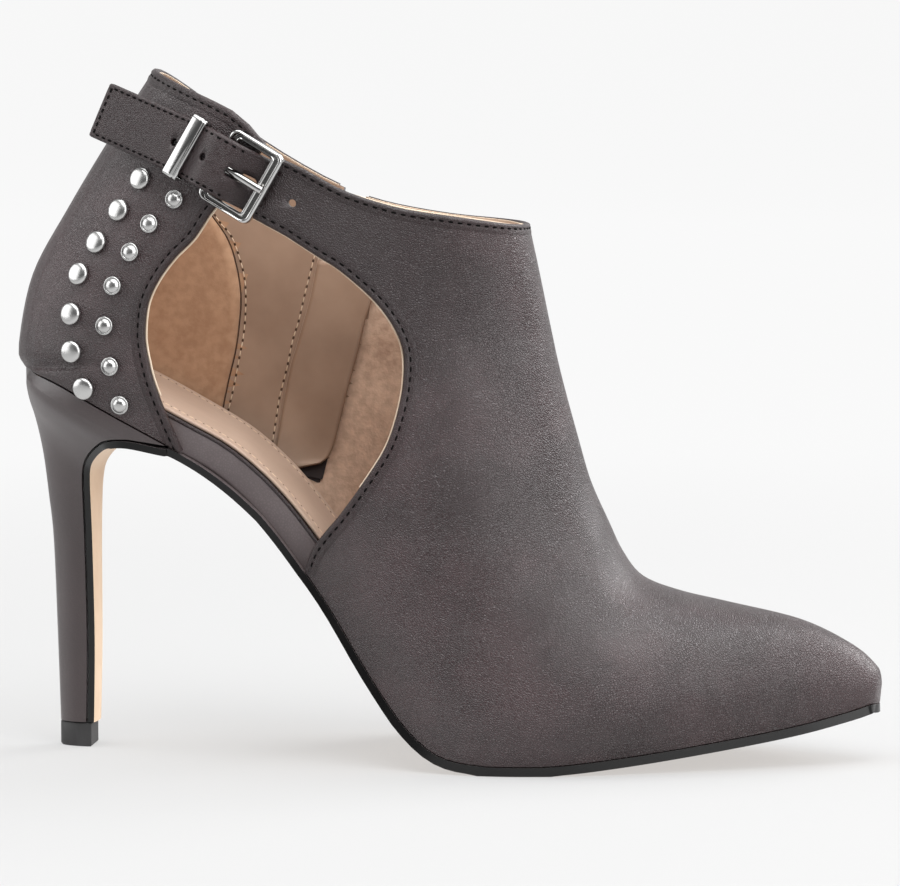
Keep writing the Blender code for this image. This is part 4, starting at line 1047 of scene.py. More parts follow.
@dataclass
class Line:
    """Line of an edge on the upper: its places, with their outward directions."""

    rows: Marks

    def frames(self) -> list[Axes]:
        """Place, direction along, direction into the leather and outward direction of each point."""
        places, found = [place for place, _ in self.rows], []
        for n, (here, out) in enumerate(self.rows):
            before, after = beside(places, n)
            along = (after - before).normalized()
            across = out.cross(along).normalized()
            found.append((here, along, across, along.cross(across).normalized()))
        return found


# The upper


@dataclass
class Upper:
    """Leather shell with its folded edges, its creases and its cut-out."""

    bench: Bench
    last: Last
    strap_width: float = 0.015
    fold: tuple = ((3.3, -0.3), (3.25, 0.02), (2.7, 0.17), (1.95, 0.28), (1.3, 0.0), (0.8, 0.3), (0.35, 0.34),
                   (-0.1, 0.14), (-0.38, -0.35), (-0.45, -0.95), (-0.3, -1.5), (0.3, -1.7), (1.0, -1.0))
    collar_fold: tuple = ((2.7, -0.3), (2.65, 0.02), (2.1, 0.12), (1.4, 0.17), (0.95, 0.0), (0.6, 0.18),
                          (0.25, 0.2), (-0.1, 0.02), (-0.36, -0.4), (-0.42, -0.95), (-0.3, -1.45), (0.3, -1.7),
                          (1.0, -1.0))
    zip_gap: float = 0.0034
    edge_reach: float = 0.0015
    hole_points: int = 24
    cord: tuple[float, float] = (0.32, 0.3)

    def band_corner(self, share: float) -> tuple[float, float]:
        """Place on the line of the band's end, a share of its width above the middle, as x and z."""
        middle, lean = self.last.band_end()
        reach = self.strap_width * share
        return middle[0] + lean[0] * reach, middle[1] + lean[1] * reach

    def outline(self) -> Pairs:
        """Outline of the side cut-out, with the gap between the ear and the band's end."""
        last = self.last
        counter = curve([last.place(p) for p in COUNTER_EDGE + EAR_TIP], 6)
        edge = curve([last.place(p) for p in VAMP_EDGE], 6)
        top, low = self.band_corner(1.0), self.band_corner(-0.5)
        high = top[1] + self.strap_width / 2
        under = [mix(edge[-1][0], counter[0][0], t) for t in (0.0, 0.33, 0.67, 1.0)]
        under = [(x, look_up(last.foot_pairs, x) - 3 * WALL) for x in under]
        return counter + [(counter[-1][0], high), (top[0], high), top, low] + edge + under

    def prism(self, outline: Pairs, near: float, far: float) -> Piece:
        """Closed cutter with an x and z outline, between two values of y."""
        return self.bench.loft("cutter", [[Vector((x, y, z)) for x, z in outline] for y in (near, far)], ())

    def hole(self, spot: tuple[float, float], size: float, length: float = 0.0) -> Piece:
        """Round or long cutter square to the upper's outside.

        Args:
            spot: Its x and z.
            size: Its width.
            length: Its length along the strap, if it is long.

        Returns:
            The cutter.
        """
        last = self.last
        (x0, z0), (x1, z1) = last.place(STRAP_LINE[0]), last.place(STRAP_LINE[1])
        point, first, across, out = last.frame(Side.LATERAL, *spot, (x1 - x0, z1 - z0))
        spread = max(length - size, 0.0) / 2
        rings = []
        for depth in (-4 * WALL, 4 * WALL):
            ring = []
            for k in range(self.hole_points):
                turn = 4 * QUARTER * (k + 0.5) / self.hole_points
                shift = spread if math.cos(turn) > 0 else -spread
                ring.append(point + first * (shift + math.cos(turn) * size / 2)
                            + across * math.sin(turn) * size / 2 + out * depth)
            rings.append(ring)
        return self.bench.loft("cutter", rings, ())

    def lining_of(self, centre: Vector) -> int:
        """Number of the finish of a face on the wall's inside."""
        z = centre.z / MM
        counter = look_up(sorted((b, a) for a, b in COUNTER_LINING), z) * MM
        guard = look_up(sorted((b, a) for a, b in GUARD_EDGE), z) * MM
        if centre.x < counter:
            return 1
        return 2 if centre.y > 0 and centre.x < guard - 2 * MM else 3

    def shell(self) -> None:
        """Make the hollow upper with its wall, its cut-out and the slot of its zip."""
        last = self.last
        total = len(last.points)
        faces = [tuple(ring) for ring in last.faces]
        which = [0] * len(faces)
        for ring in last.faces:
            faces.append(tuple(n + total for n in reversed(ring)))
            which.append(self.lining_of(sum((last.inner[n] for n in ring), Vector()) / 4))
        end = len(last.stations) - 1
        for side in Side:
            for i in range(last.closed_at):
                a, b = last.at(i, side, 0), last.at(i + 1, side, 0)
                faces.append((a, b, b + total, a + total))
            for k in range(last.side_steps):
                a, b = last.at(end, side, k), last.at(end, side, k + 1)
                faces.append((a, b, b + total, a + total))
        which += [0] * (len(faces) - len(which))
        finishes = ("brown_leather", "tan_suede", "smooth_lining", "coarse_suede")
        upper = self.bench.mesh("upper_leather", last.points + last.inner, faces, finishes, which, 45.0)
        self.bench.cut(upper, self.prism(self.outline(), -0.17, -2 * WALL))
        self.bench.cut(upper, Zip(self.bench, last).slot())
        self.bench.cut(upper, self.hole(last.place(BAND_HOLE), PINHOLE))
        self.bench.keep(upper, "leather", "upper")

    def edge_rows(self, outline: Pairs) -> Marks:
        """Places on the outer side along an outline, with outward directions."""
        rows = []
        for x, z in outline:
            if self.last.touch(Side.LATERAL, x, z) is not None:
                point, _, _, out = self.last.frame(Side.LATERAL, x, z, (1, 0), self.edge_reach)
                rows.append((point, out))
        return rows

    def counter_line(self) -> Line:
        """Edge from the foot of the counter up round the ear and back along the collar to the zip."""
        last = self.last
        edge = [p for p in curve([last.place(p) for p in COUNTER_EDGE + EAR_TIP], 8)
                if p[1] <= last.collar_z(Side.LATERAL, p[0]) - 0.3 * MM]
        rows = self.edge_rows(edge)
        tip = rows[-1][0].x - 0.6 * MM
        behind, ahead = self.collar_points()
        stop = self.zip_x() - self.zip_gap
        return Line(rows + [r for r in behind if r[0].x < tip] + [r for r in ahead if r[0].x < stop])

    def zip_x(self) -> float:
        """Where the zip meets the collar."""
        return Zip(self.bench, self.last).places()[0][0]

    def collar_points(self) -> tuple[Marks, Marks]:
        """Collar points with outward directions: outer side to the back, inner side to the front."""
        last, end = self.last, len(self.last.stations) - 1
        lateral = [last.at(end, Side.LATERAL, k) for k in range(last.side_steps, -1, -1)]
        medial = [last.at(end, Side.MEDIAL, k) for k in range(1, last.side_steps + 1)]
        return ([(last.points[n], last.normals[n]) for n in lateral],
                [(last.points[n], last.normals[n]) for n in medial])

    def front_line(self) -> Line:
        """Collar from the zip round the front to the band's end."""
        behind, ahead = self.collar_points()
        start, stop = self.zip_x() + self.zip_gap, self.band_corner(0.5)[0]
        return Line([r for r in ahead if r[0].x > start] + [r for r in behind[1:] if r[0].x > stop])

    def vamp_line(self) -> Line:
        """Edge of the vamp from the band's end down to the sole."""
        edge = curve([self.last.place(p) for p in VAMP_EDGE], 8)
        return Line(self.edge_rows([self.band_corner(-0.5)] + edge))

    def fold_edge(self, name: str, line: Line, profile: tuple, rim: float, floor: float) -> None:
        """Lay the folded leather edge along a line, with the light lining inside it.

        Args:
            name: Name of the piece.
            line: The edge.
            profile: Places into the leather and heights, in millimetres.
            rim: How far the lining stands out past the edge, in millimetres.
            floor: Height below which the lining isn't seen, in millimetres.
        """
        rings, light = [], []
        wide, high = (size * MM for size in self.cord)
        for here, along, across, out in line.frames():
            ring = []
            for depth, height in profile:
                spot = here + across * depth * MM
                if depth > 0.2:
                    spot = self.last.outer_tree.find_nearest(spot)[0]
                ring.append(spot + out * height * MM)
            rings.append(ring)
            if here.z >= floor * MM:
                inside = min(1.0, max(0.0, here.y / (8 * MM), (here.z / MM - 146) / 4))
                middle = here - across * (mix(rim, 0.1, inside) * MM - wide) - out * 1.72 * MM
                light.append(around(middle, across * wide, out * high, 8))
        self.bench.keep(self.bench.loft(name, rings, ("shaded_leather",), 60.0), "leather")
        self.bench.keep(self.bench.loft(name + "_lining", light, ("lining_edge",), 60.0), "lining")

    def build(self) -> None:
        """Make the shell and its edges."""
        self.shell()
        self.fold_edge("counter_edge", self.counter_line(), self.fold, 0.8, 96.0)
        self.fold_edge("vamp_edge", self.vamp_line(), self.fold, 0.8, 73.0)
        self.fold_edge("collar_edge", self.front_line(), self.collar_fold, 0.6, 0.0)


# Sole, heel and boards


@dataclass
class Sole:
    """Outsole, heel, top piece, insole and sock."""

    bench: Bench
    last: Last
    crown: float = 0.0006
    stem: float = 0.008
    tip_width: float = 0.009
    tip_height: float = 0.0063
    insole: float = 0.003
    rand: float = 0.0068
    sock: float = 0.001
    setback: float = 0.0012
    heel_points: int = 22
    steps: int = 5
    ends: tuple[float, float] = (0.03, 0.96)
    rand_rise: tuple[float, float] = (0.5, 0.4)
    waist_thin: tuple = ((0.38, 0.8), (0.52, 1.0))
    flap_from: float = 0.12
    flap_thin: float = 0.88
    joint_rows: tuple[int, int] = (6, 9)
    joint_passes: int = 10
    bead: float = 0.00055

    def strip(self, name: str, rows: list, finishes: tuple[str, ...], across: int = 8) -> Piece:
        """Make a solid strip from rows.

        Args:
            name: Its name.
            rows: Line point, up direction, half-widths, top, bottom and crown of each section.
            finishes: Finish of the top, the sides and the bottom.
            across: Number of faces across it.

        Returns:
            The object.
        """
        points, rings = [], []
        for x, z, up, lateral, medial, top, bottom, crown in rows:
            tip = lateral + medial < 1e-6
            ring = []
            for level, bulge, order in ((top, 0.0, range(across + 1)), (bottom, crown, range(across, -1, -1))):
                for k in order:
                    share = k / across
                    height = level - bulge * (1 - (2 * share - 1) ** 2)
                    if tip and k != order[0]:
                        ring.append(ring[-1])
                        continue
                    ring.append(len(points))
                    points.append(Vector((x, mix(-lateral, medial, share), z)) + up * height)
            rings.append(ring)
        faces, which = [tuple(rings[-1])], [1]
        if len(set(rings[0])) > 2:
            faces.append(tuple(reversed(rings[0])))
            which.append(1)
        size = 2 * (across + 1)
        for a, b in zip(rings, rings[1:]):
            for k in range(size):
                faces.append((a[k], a[(k + 1) % size], b[(k + 1) % size], b[k]))
                which.append(0 if k < across else 1 if k in (across, size - 1) else 2)
        return self.bench.mesh(name, points, faces, finishes, which, 40.0)

    def heel_front(self, row: tuple[float, ...]) -> tuple[float, float, float]:
        """Line point of the sole flap on the heel's front, and its half-width."""
        z = self.tip_height + GAP + row[1] * self.last.heel_height
        return row[0] * self.stem, z, row[4] * self.last.seat_width

    def sole_line(self) -> list:
        """Rows of the outsole's upper face, from the toe under the arch and down the heel's front."""
        last, steps = self.last, self.steps
        waist = [v for v in last.stations if v <= FIRST_CLOSED - 5]
        rows = [(*last.section_at(v)[:2], *last.section_at(v)[4:6], 0.0) for v in waist]
        seat = (last.along(SEAT_FRONT[0]), last.sole_thickness + GAP + SEAT_FRONT[1] * last.heel_height)
        before, joint = last.section_at(FIRST_CLOSED - 5.5), last.section_at(FIRST_CLOSED - 4)
        half = last.section_at(FIRST_CLOSED - 3.8)[4]
        control = [(*before[:2], *before[4:6]), rows[-1][:4],
                   (joint[0], joint[1] - GAP, joint[4], joint[5]), (*seat, half, half)]
        for row in reversed(HEEL_ROWS):
            x, z, wide = self.heel_front(row)
            control.append((x, z, wide, wide))
        down = [spline(control, 1 + i / steps) for i in range(1, steps * (len(control) - 2) + 1)]
        crowned = len(down) - steps * len(HEEL_ROWS)
        joined = len(rows)
        for i, row in enumerate(down):
            rows.append((*row, self.crown * min(1.0, max(0.0, (i - crowned) / (3 * steps)))))
        for _ in range(self.joint_passes):
            for i in range(joined - self.joint_rows[0], joined + self.joint_rows[1]):
                rows[i] = tuple((a + 2 * b + c) / 4 for a, b, c in zip(rows[i - 1], rows[i], rows[i + 1]))
        return rows

    def make_outsole(self) -> None:
        """Thin outsole, which runs on down the front of the heel."""
        line, last, rows = self.sole_line(), self.last, []
        thin = [(last.along(at), share) for at, share in self.waist_thin]
        for i, (x, z, lateral, medial, crown) in enumerate(line):
            up = path_normal(line, i) if i < len(line) - 1 else Vector((-1, 0, 0))
            thick = last.sole_thickness * look_up(thin, x)
            if x < last.along(self.flap_from):
                thick *= self.flap_thin
            rows.append((x, z, up, lateral, medial, -GAP, -GAP - thick, crown))
        outsole = self.strip("outsole_leather", rows, ("rand_leather", "black_edge", "beige_sole"), 10)
        for corner in outsole.data.vertices:
            if corner.co.z < GAP:
                corner.co.z = 0.0
        self.bench.bevel(outsole, 0.00035)
        self.bench.keep(outsole, "sole_leather", "outsole")

    def half_turns(self) -> list[tuple[int, float]]:
        """Side and nearness to the front round a section: outer side to the back, inner side to the front."""
        shares = [math.cos(QUARTER * k / self.heel_points) for k in range(self.heel_points + 1)]
        return [(-1, near) for near in shares] + [(1, near) for near in shares[-2::-1]]

    def ring(self, front: tuple[float, float], back: tuple[float, float], half: float, power: float) -> Ring:
        """Points round one heel section."""
        return [Vector((mix(back[0], front[0], near), side * half * max(0.0, 1 - (1 - near) ** power) ** 0.5,
                        mix(back[1], front[1], near))) for side, near in self.half_turns()]

    def seat_ring(self) -> Ring:
        """Points round the seat, on the sole line and just under the upper."""
        last, points = self.last, []
        rows = [spline(last.values, mix(FIRST_CLOSED - 4, FIRST_CLOSED, k / 60)) for k in range(61)]
        pairs = sorted((r[0], r[4]) for r in rows)
        for side, near in self.half_turns():
            x = mix(pairs[0][0], last.along(SEAT_FRONT[0]), near)
            points.append(Vector((x, side * look_up(pairs, x), look_up(last.foot_pairs, x) - 1.5 * GAP)))
        return points

    def make_heel(self) -> None:
        """Leather-covered heel, a loft from its tip to the seat."""
        rows = curve([tuple(row) for row in HEEL_ROWS], self.steps)
        sections = []
        for row in rows:
            x, z, half = self.heel_front(row)
            back = (row[2] * self.stem, self.tip_height + GAP + row[3] * self.last.heel_height)
            sections.append(((x, z), back, half, row[5]))
        line = [s[0] for s in reversed(sections)]
        rings = []
        for number, (front, back, half, power) in enumerate(sections):
            up = path_normal(line, len(line) - 1 - number) if number else Vector((-1, 0, 0))
            rings.append(self.ring((front[0] + up.x * GAP, front[1] + up.z * GAP), back, half, power))
        rings.append(self.seat_ring())
        size, points = len(rings[0]), [p for ring in rings for p in ring]
        faces = walls(len(rings), size)
        for start in (0, len(points) - size):
            faces += [(start + k, start + k + 1, start + size - 2 - k, start + size - 1 - k)
                      for k in range(size // 2 - 1)]
            faces.append((start + size // 2 - 1, start + size // 2, start + size // 2 + 1))
        heel = self.bench.mesh("heel_leather", points, faces, ("heel_leather",), sharp=50.0)
        self.bench.keep(heel, "leather", "heel")

    def make_top_piece(self) -> None:
        """Rubber tip under the heel and the end of the sole's flap."""
        row = HEEL_ROWS[0]
        front = self.heel_front(row)[0] + self.last.sole_thickness / 2
        back = row.back_x * self.stem
        rings = []
        for z, inset in ((0.0, 0.0003), (0.0003, 0.0), (self.tip_height - 0.0002, 0.0), (self.tip_height, 0.0002)):
            rings.append(self.ring((front - inset, z), (back + inset, z), self.tip_width / 2 - inset, row.power))
        self.bench.keep(self.bench.loft("top_piece_rubber", rings, ("tip_rubber",)), "tip_rubber", "top_piece")

    def inset_outline(self, side: Side, inset: float) -> Pairs:
        """Half-widths against x of the sole's outline on one side, moved inwards."""
        last, column = self.last, 4 if side is Side.LATERAL else 5
        edge = [(row[0], row[column]) for row in (last.section_at(v) for v in last.stations[: last.closed_at + 1])]
        moved = []
        for k, (x, wide) in enumerate(edge):
            (x0, w0), (x1, w1) = beside(edge, k)
            size = math.hypot(x1 - x0, w1 - w0)
            moved.append((x - (w1 - w0) / size * inset, wide + (x1 - x0) / size * inset))
        return sorted(moved)

    def rand_height(self, x: float) -> float:
        """Thickness of the insole board, thick behind the ball and thin in front."""
        thin, thick = (self.last.along(share) for share in self.rand_rise)
        share = max(0.0, min(1.0, (thin - x) / (thin - thick)))
        return mix(self.insole, self.rand, share * share * (3 - 2 * share))

    def board(self, low: float, high: float, inset: float) -> list:
        """Rows of a board inside the upper.

        Args:
            low: Height of its bottom above the rand's top, or a large negative number for the sole.
            high: Height of its top above the rand's top.
            inset: How far it lies inside the sole's edge.

        Returns:
            Rows for strip.
        """
        last = self.last
        outline, rows = {side: self.inset_outline(side, inset) for side in Side}, []
        for i, v in enumerate(last.stations[: last.closed_at]):
            x, z = last.section_at(v)[:2]
            if not last.along(self.ends[0]) < x < last.along(self.ends[1]):
                continue
            top = self.rand_height(x)
            rows.append((x, z, path_normal(last.foot_line, i), look_up(outline[Side.LATERAL], x),
                         look_up(outline[Side.MEDIAL], x), top + high, max(-3 * GAP, top + low), 0.0))
        return rows

    def make_boards(self) -> None:
        """Insole board with its wrapped edge, and the sock on it."""
        board = self.strip("insole_rand", self.board(-1.0, 0.0, BOARD_INSET), ("rand_leather",) * 3)
        self.bench.bevel(board, 0.0008, 4)
        self.bench.keep(board, "leather", "insole")
        for side in Side:
            self.rand_bead(side)
        rows = self.board(GAP, GAP + self.sock, BOARD_INSET + self.setback)
        sock = self.strip("sock_lining", rows, ("sock_lining",) * 3)
        self.bench.bevel(sock, 0.0004)
        self.bench.keep(sock, "lining", "sock")

    def rand_bead(self, side: Side) -> None:
        """Dark bead along the top edge of the wrapped board."""
        rings, away = [], Vector((0, side.value, 0))
        for x, z, up, lateral, medial, top, _, _ in self.board(-1.0, 0.0, BOARD_INSET):
            wide = lateral if side is Side.LATERAL else medial
            if wide >= 5 * MM and x <= self.last.along(0.55):
                middle = Vector((x, side.value * (wide - 0.3 * MM), z)) + up * (top - 0.25 * MM)
                rings.append(around(middle, away * self.bead, up * self.bead, 10))
        name = f"rand_bead_{side.name.lower()}"
        self.bench.keep(self.bench.loft(name, rings, ("shaded_leather",), 60.0), "leather")

    def sock_line(self, side: Side, inset: float) -> Marks:
        """Places on the sock at a distance inside its edge, with the up direction."""
        rows = self.board(GAP, GAP + self.sock, BOARD_INSET + self.setback + inset)
        found = []
        for x, z, up, lateral, medial, top, _, _ in rows:
            wide = lateral if side is Side.LATERAL else medial
            if wide > 4 * MM and x < self.last.along(0.5):
                found.append((Vector((x, side.value * wide, z)) + up * top, up))
        return found

    def build(self) -> None:
        """Make all five pieces."""
        self.make_outsole()
        self.make_heel()
        self.make_top_piece()
        self.make_boards()


# Linings


@dataclass
class Lining:
    """What lies on the wall's inside: counter lining, seams and zip guard."""

    bench: Bench
    last: Last
    steps: int = 40

    def wall(self, x: float, z: float) -> Vector | None:
        """Point on the inside of the inner wall, x and z in millimetres."""
        return self.last.touch(Side.MEDIAL, x * MM, z * MM, True)

    def sheet(self, name: str, left: Pairs, right: Pairs, finish: str, lifts: tuple[float, float],
              thick: float, across: int = 16) -> None:
        """Lay a thin sheet on the wall between two lines.

        Args:
            name: Name of the piece.
            left: Left line, z and x in millimetres, sorted by z.
            right: Right line in the same way.
            finish: Name of its finish.
            lifts: How far its two sides stand off the wall, in millimetres.
            thick: Its thickness in millimetres.
            across: Number of faces across it.
        """
        low, high = max(left[0][0], right[0][0]), min(left[-1][0], right[-1][0])
        points, where, faces = [], {}, []
        for r in range(self.steps + 1):
            z = mix(low, high, r / self.steps)
            for k in range(across + 1):
                share = k / across
                hit = self.wall(mix(look_up(left, z), look_up(right, z), share), z)
                if hit is not None:
                    where[(r, k)] = len(points)
                    points.append(hit - Vector((0, (mix(*lifts, share ** 2) + thick / 2) * MM, 0)))
        for r in range(self.steps):
            for k in range(across):
                corners = [where.get(c) for c in ((r, k), (r, k + 1), (r + 1, k + 1), (r + 1, k))]
                if None not in corners:
                    faces.append(tuple(corners))
        piece = self.bench.mesh(name, points, faces, (finish,), sharp=60.0)
        step = piece.modifiers.new("thickness", "SOLIDIFY")
        step.thickness = thick * MM
        step.offset = 0.0
        self.bench.keep(piece, "lining")

    def tube(self, name: str, line: Pairs, size: float, finish: str) -> None:
        """Run a thin raised line along the wall, x and z in millimetres."""
        spots = [p for p in (self.wall(x, z) for x, z in curve(line, 5)) if p is not None]
        rings, out = [], Vector((0, -1, 0))
        for n, spot in enumerate(spots):
            before, after = beside(spots, n)
            side = (after - before).normalized().cross(out).normalized()
            rings.append(around(spot + out * 0.1 * MM, side * size * MM, out * size * MM, 8))
        self.bench.keep(self.bench.loft(name, rings, (finish,), 60.0), "lining")

    def build(self) -> None:
        """Make the linings."""
        counter, ridge, guard = (sorted((z, x) for x, z in curve(line, 4))
                                 for line in (COUNTER_LINING, LINING_RIDGE, GUARD_EDGE))
        back = [(z, look_up(COUNTER_BACK, z)) for z in range(80, 173, 4)]
        self.sheet("counter_lining", back, counter, "tan_suede", (0.0, 0.05), 0.5)
        self.sheet("zip_guard", ridge, guard, "smooth_lining", (0.05, 1.3), 0.7)
        # A thin dark sheet in the zip tape's finish below the guard's lower end: painted shadow where the flap
        # lifts off the wall
        left, right = ([(row[0], row[k]) for row in GUARD_SHADOW] for k in (1, 2))
        self.sheet("guard_shadow", left, right, "zip_tape", (0.05, 0.05), 0.1)
        self.tube("lining_ridge", LINING_RIDGE, 0.3, "sock_lining")
        self.tube("counter_lining_line", [(x + 0.25, z) for x, z in COUNTER_LINING[3:]], 0.17, "needle_hole")


# Strap and its metal parts


@dataclass
class Strap:
    """Strap from the band's end over the ear, with its buckle, prong and keeper."""

    bench: Bench
    last: Last
    upper: Upper
    width: float = 0.015
    thickness: float = 0.0018
    length: float = 0.0504
    hole: float = 0.0026
    buckle_length: float = 0.016
    buckle_bar: float = 0.0033
    buckle_arm: float = 0.0022
    buckle_thickness: float = 0.0018
    prong: float = 0.0016
    prong_radius: float = 0.001
    prong_slot: float = 0.62
    prong_at: float = 0.47
    keeper_length: float = 0.0031
    keeper_width: float = 0.0043
    keeper_lean: float = 8.0
    keeper_thickness: float = 0.0009
    keeper_reach: float = 0.0236
    keeper_back: float = 0.0017
    hole_pitch: float = 0.0099
    steps: int = 84
    section: tuple = ((-7.5, -0.5), (-7.45, 0.25), (-7.15, 0.72), (-6.75, 0.88), (-6.4, 0.74), (-6.05, 0.86),
                      (-5.6, 0.9), (-3.0, 0.93), (0.0, 0.95), (3.0, 0.93), (5.6, 0.9), (6.05, 0.86), (6.4, 0.74),
                      (6.75, 0.88), (7.15, 0.72), (7.45, 0.25), (7.5, -0.5), (7.0, -0.9), (0.0, -0.9), (-7.0, -0.9))
    frame: tuple = ((0.0, 0.0), (0.0, 0.45), (0.04, 0.72), (0.12, 0.92), (0.22, 1.0), (0.33, 0.94), (0.42, 0.66),
                    (0.5, 0.4), (0.58, 0.4), (0.66, 0.66), (0.75, 0.86), (0.86, 0.88), (0.95, 0.72), (1.0, 0.45),
                    (1.0, 0.0))
    keeper_sides: tuple = ((-0.5, 0.55), (-0.44, 0.2), (-0.34, 0.12), (-0.3, 0.32), (-0.22, 0.3), (-0.16, 0.02),
                           (0.0, 0.0), (0.4, 0.0), (0.47, 0.06), (0.5, 0.4))

    def __post_init__(self) -> None:
        """Measure the strap's line on the upper."""
        self.bars = self.buckle_length - self.buckle_bar
        line = curve([self.last.place(p) for p in STRAP_LINE], 8)
        self.track = []
        run, before = 0.0, None
        for k, (x, z) in enumerate(line):
            here = self.last.touch(Side.LATERAL, x, z)
            if here is None or run > self.keeper_reach + 2 * self.keeper_length:
                break
            if before is not None:
                run += (here - before).length
            back, on = beside(line, k)
            self.track.append((run, x, z, (on[0] - back[0], on[1] - back[1])))
            before = here
        self.middle, self.first, self.across, self.out = self.buckle_place()
        self.levels = self.heights()

    def place(self, run: float) -> Axes:
        """Point and axes on the upper at a distance along the strap from the right bar."""
        reach = run if run < self.keeper_reach - 0.8 * self.keeper_length else self.keeper_reach
        x = look_up([(t[0], t[1]) for t in self.track], reach)
        z = look_up([(t[0], t[2]) for t in self.track], reach)
        k = min(range(len(self.track)), key=lambda n: abs(self.track[n][0] - reach))
        point, first, across, out = self.last.frame(Side.LATERAL, x, z, self.track[k][3], 0.005)
        return point + first * (run - reach), first, across, out

    def buckle_place(self) -> Axes:
        """Middle and axes of the flat buckle above the upper."""
        point, first, across, out = self.place(self.bars / 2)
        lift = 0.0
        for a in (-1, -0.5, 0, 0.5, 1):
            for b in (-1, 0, 1):
                spot = point + first * a * self.buckle_length / 2 + across * b * (self.width / 2 + self.buckle_arm)
                hit = self.last.touch(Side.LATERAL, spot.x, spot.z)
                if hit is not None:
                    lift = max(lift, (hit - spot).dot(out))
        return point + out * (lift + GAP), first, across, out

    def heights(self) -> Pairs:
        """Pairs of distance along the strap and height of its inner face above the upper."""
        left = self.middle + self.first * self.bars / 2
        over = (left - self.place(self.bars)[0]).dot(self.out) + self.buckle_thickness + self.prong + 3 * GAP
        low, bars, thick = self.keeper_thickness + 3 * GAP, self.bars, self.thickness
        return [
            (0.0, -thick), (0.22 * bars, -thick), (0.42 * bars, 0.16 * over), (0.72 * bars, over),
            (1.22 * bars, over), (1.42 * bars, mix(low, over, 0.35)), (1.53 * bars, low), (self.length, low),
        ]

    def line_at(self, run: float) -> Axes:
        """Middle of the strap's thickness at a distance along it, with axes."""
        spread = (-1.2, -0.6, 0.0, 0.6, 1.2)
        point, first, across, out = self.place(run)
        level = sum(look_up(self.levels, run + d * MM) for d in spread) / len(spread)
        return point + out * (level + self.thickness / 2), first, across, out

    def make_strap(self) -> None:
        """Leather strap with raised folded edges, thinner towards its end, and its holes."""
        rings = []
        for n in range(self.steps + 1):
            run = mix(GAP, self.length, n / self.steps)
            middle, first, across, out = self.line_at(run)
            left = self.length - run
            ease = min(1.0, left / (0.45 * MM))
            swell = 0.86 + 0.14 * math.sqrt(max(0.0, ease * (2 - ease)))
            sunk = 0.12 if 0.9 * MM < left < 1.3 * MM else 0.0
            rings.append([middle + across * b * (0.985 + 0.015 * ease) * MM
                          + out * (c * swell - (sunk if c > 0.8 else 0.0)) * MM for b, c in self.section])
        strap = self.bench.loft("strap_leather", rings, ("shaded_leather",), 50.0)
        for k, size, length in ((0, self.hole, self.prong_slot * self.bars), (1, PINHOLE, 0.0), (2, PINHOLE, 0.0)):
            spot = self.place(self.prong_at * self.bars + k * self.hole_pitch)[0]
            self.bench.cut(strap, self.upper.hole((spot.x, spot.z), size, length))
        self.bench.keep(strap, "strap_leather", "strap")

    def make_buckle(self) -> None:
        """Flat buckle with rounded corners and a double ridge all round."""
        half_a, half_b = self.buckle_length / 2, self.width / 2 + 2 * GAP + self.buckle_arm
        in_a, in_b = half_a - self.buckle_bar, half_b - self.buckle_arm
        rings = []
        for share, height in self.frame:
            radius = mix(0.68, 0.22, share) * self.buckle_bar
            a, b = mix(half_a, in_a, share) - radius, mix(half_b, in_b, share) - radius
            middle = self.middle + self.out * height * self.buckle_thickness
            rings.append(rounded(middle, self.first, self.across, (a, b, -b), radius, 8))
        buckle = self.bench.loft("buckle_chrome", rings, ("chrome",), 50.0, closed=True)
        self.bench.keep(buckle, "chrome", "buckle_frame")

    def make_prong(self) -> None:
        """Prong that hooks over the left bar and rests on the right bar."""
        radius, bars = self.prong_radius, self.bars
        level = self.buckle_thickness + GAP + radius
        hook = self.buckle_length / 2 + GAP + radius
        path = curve([(hook, radius), (hook, 0.55 * level), (hook - 0.35 * radius, 0.85 * level),
                      (hook - 1.4 * radius, level), (0.0, level), (-bars / 2, level),
                      (-bars / 2 - self.buckle_bar * 0.3, level)], 6)
        rings = []
        for n, (a, b) in enumerate(path):
            (a0, b0), (a1, b1) = beside(path, n)
            up = self.across.cross((self.first * (a1 - a0) + self.out * (b1 - b0)).normalized())
            left = (len(path) - 1 - n) / 6
            size = radius * (1.0 if left >= 1 else 0.35 + 0.65 * math.sqrt(left * (2 - left)))
            rings.append(around(self.middle + self.first * a + self.out * b, self.across * size, up * size, 16))
        self.bench.keep(self.bench.loft("prong_chrome", rings, ("chrome",), 60.0), "chrome", "buckle_prong")

    def make_keeper(self) -> None:
        """Flat metal loop round the strap, with a stepped side."""
        point, first, across, out = self.place(self.keeper_reach - self.keeper_back)
        lean = math.radians(self.keeper_lean)
        first, across = (first * math.cos(lean) + across * math.sin(lean),
                         across * math.cos(lean) - first * math.sin(lean))
        thick = self.keeper_thickness
        low, in_b = thick + 3 * GAP, self.width / 2 + 1.5 * GAP
        bottom, top = low - 1.3 * GAP, low + self.thickness + 1.5 * GAP
        rings = []
        loops = [(a, thick * (1 - drop), 0.45 * thick + thick * (1 - drop) * 0.8) for a, drop in self.keeper_sides]
        for a, grow, corner in loops + [(0.5, 0.0, 0.2 * thick), (-0.5, 0.0, 0.2 * thick)]:
            box = (in_b + grow - corner, top + grow - corner, bottom - grow * 0.6 + corner)
            rings.append(rounded(point + first * a * self.keeper_width, across, out, box, corner, 4))
        keeper = self.bench.loft("keeper_chrome", rings, ("chrome",), 45.0, closed=True)
        self.bench.keep(keeper, "chrome", "keeper")

    def build(self) -> None:
        """Make the strap and its metal parts."""
        self.make_strap()
        self.make_buckle()
        self.make_prong()
        self.make_keeper()


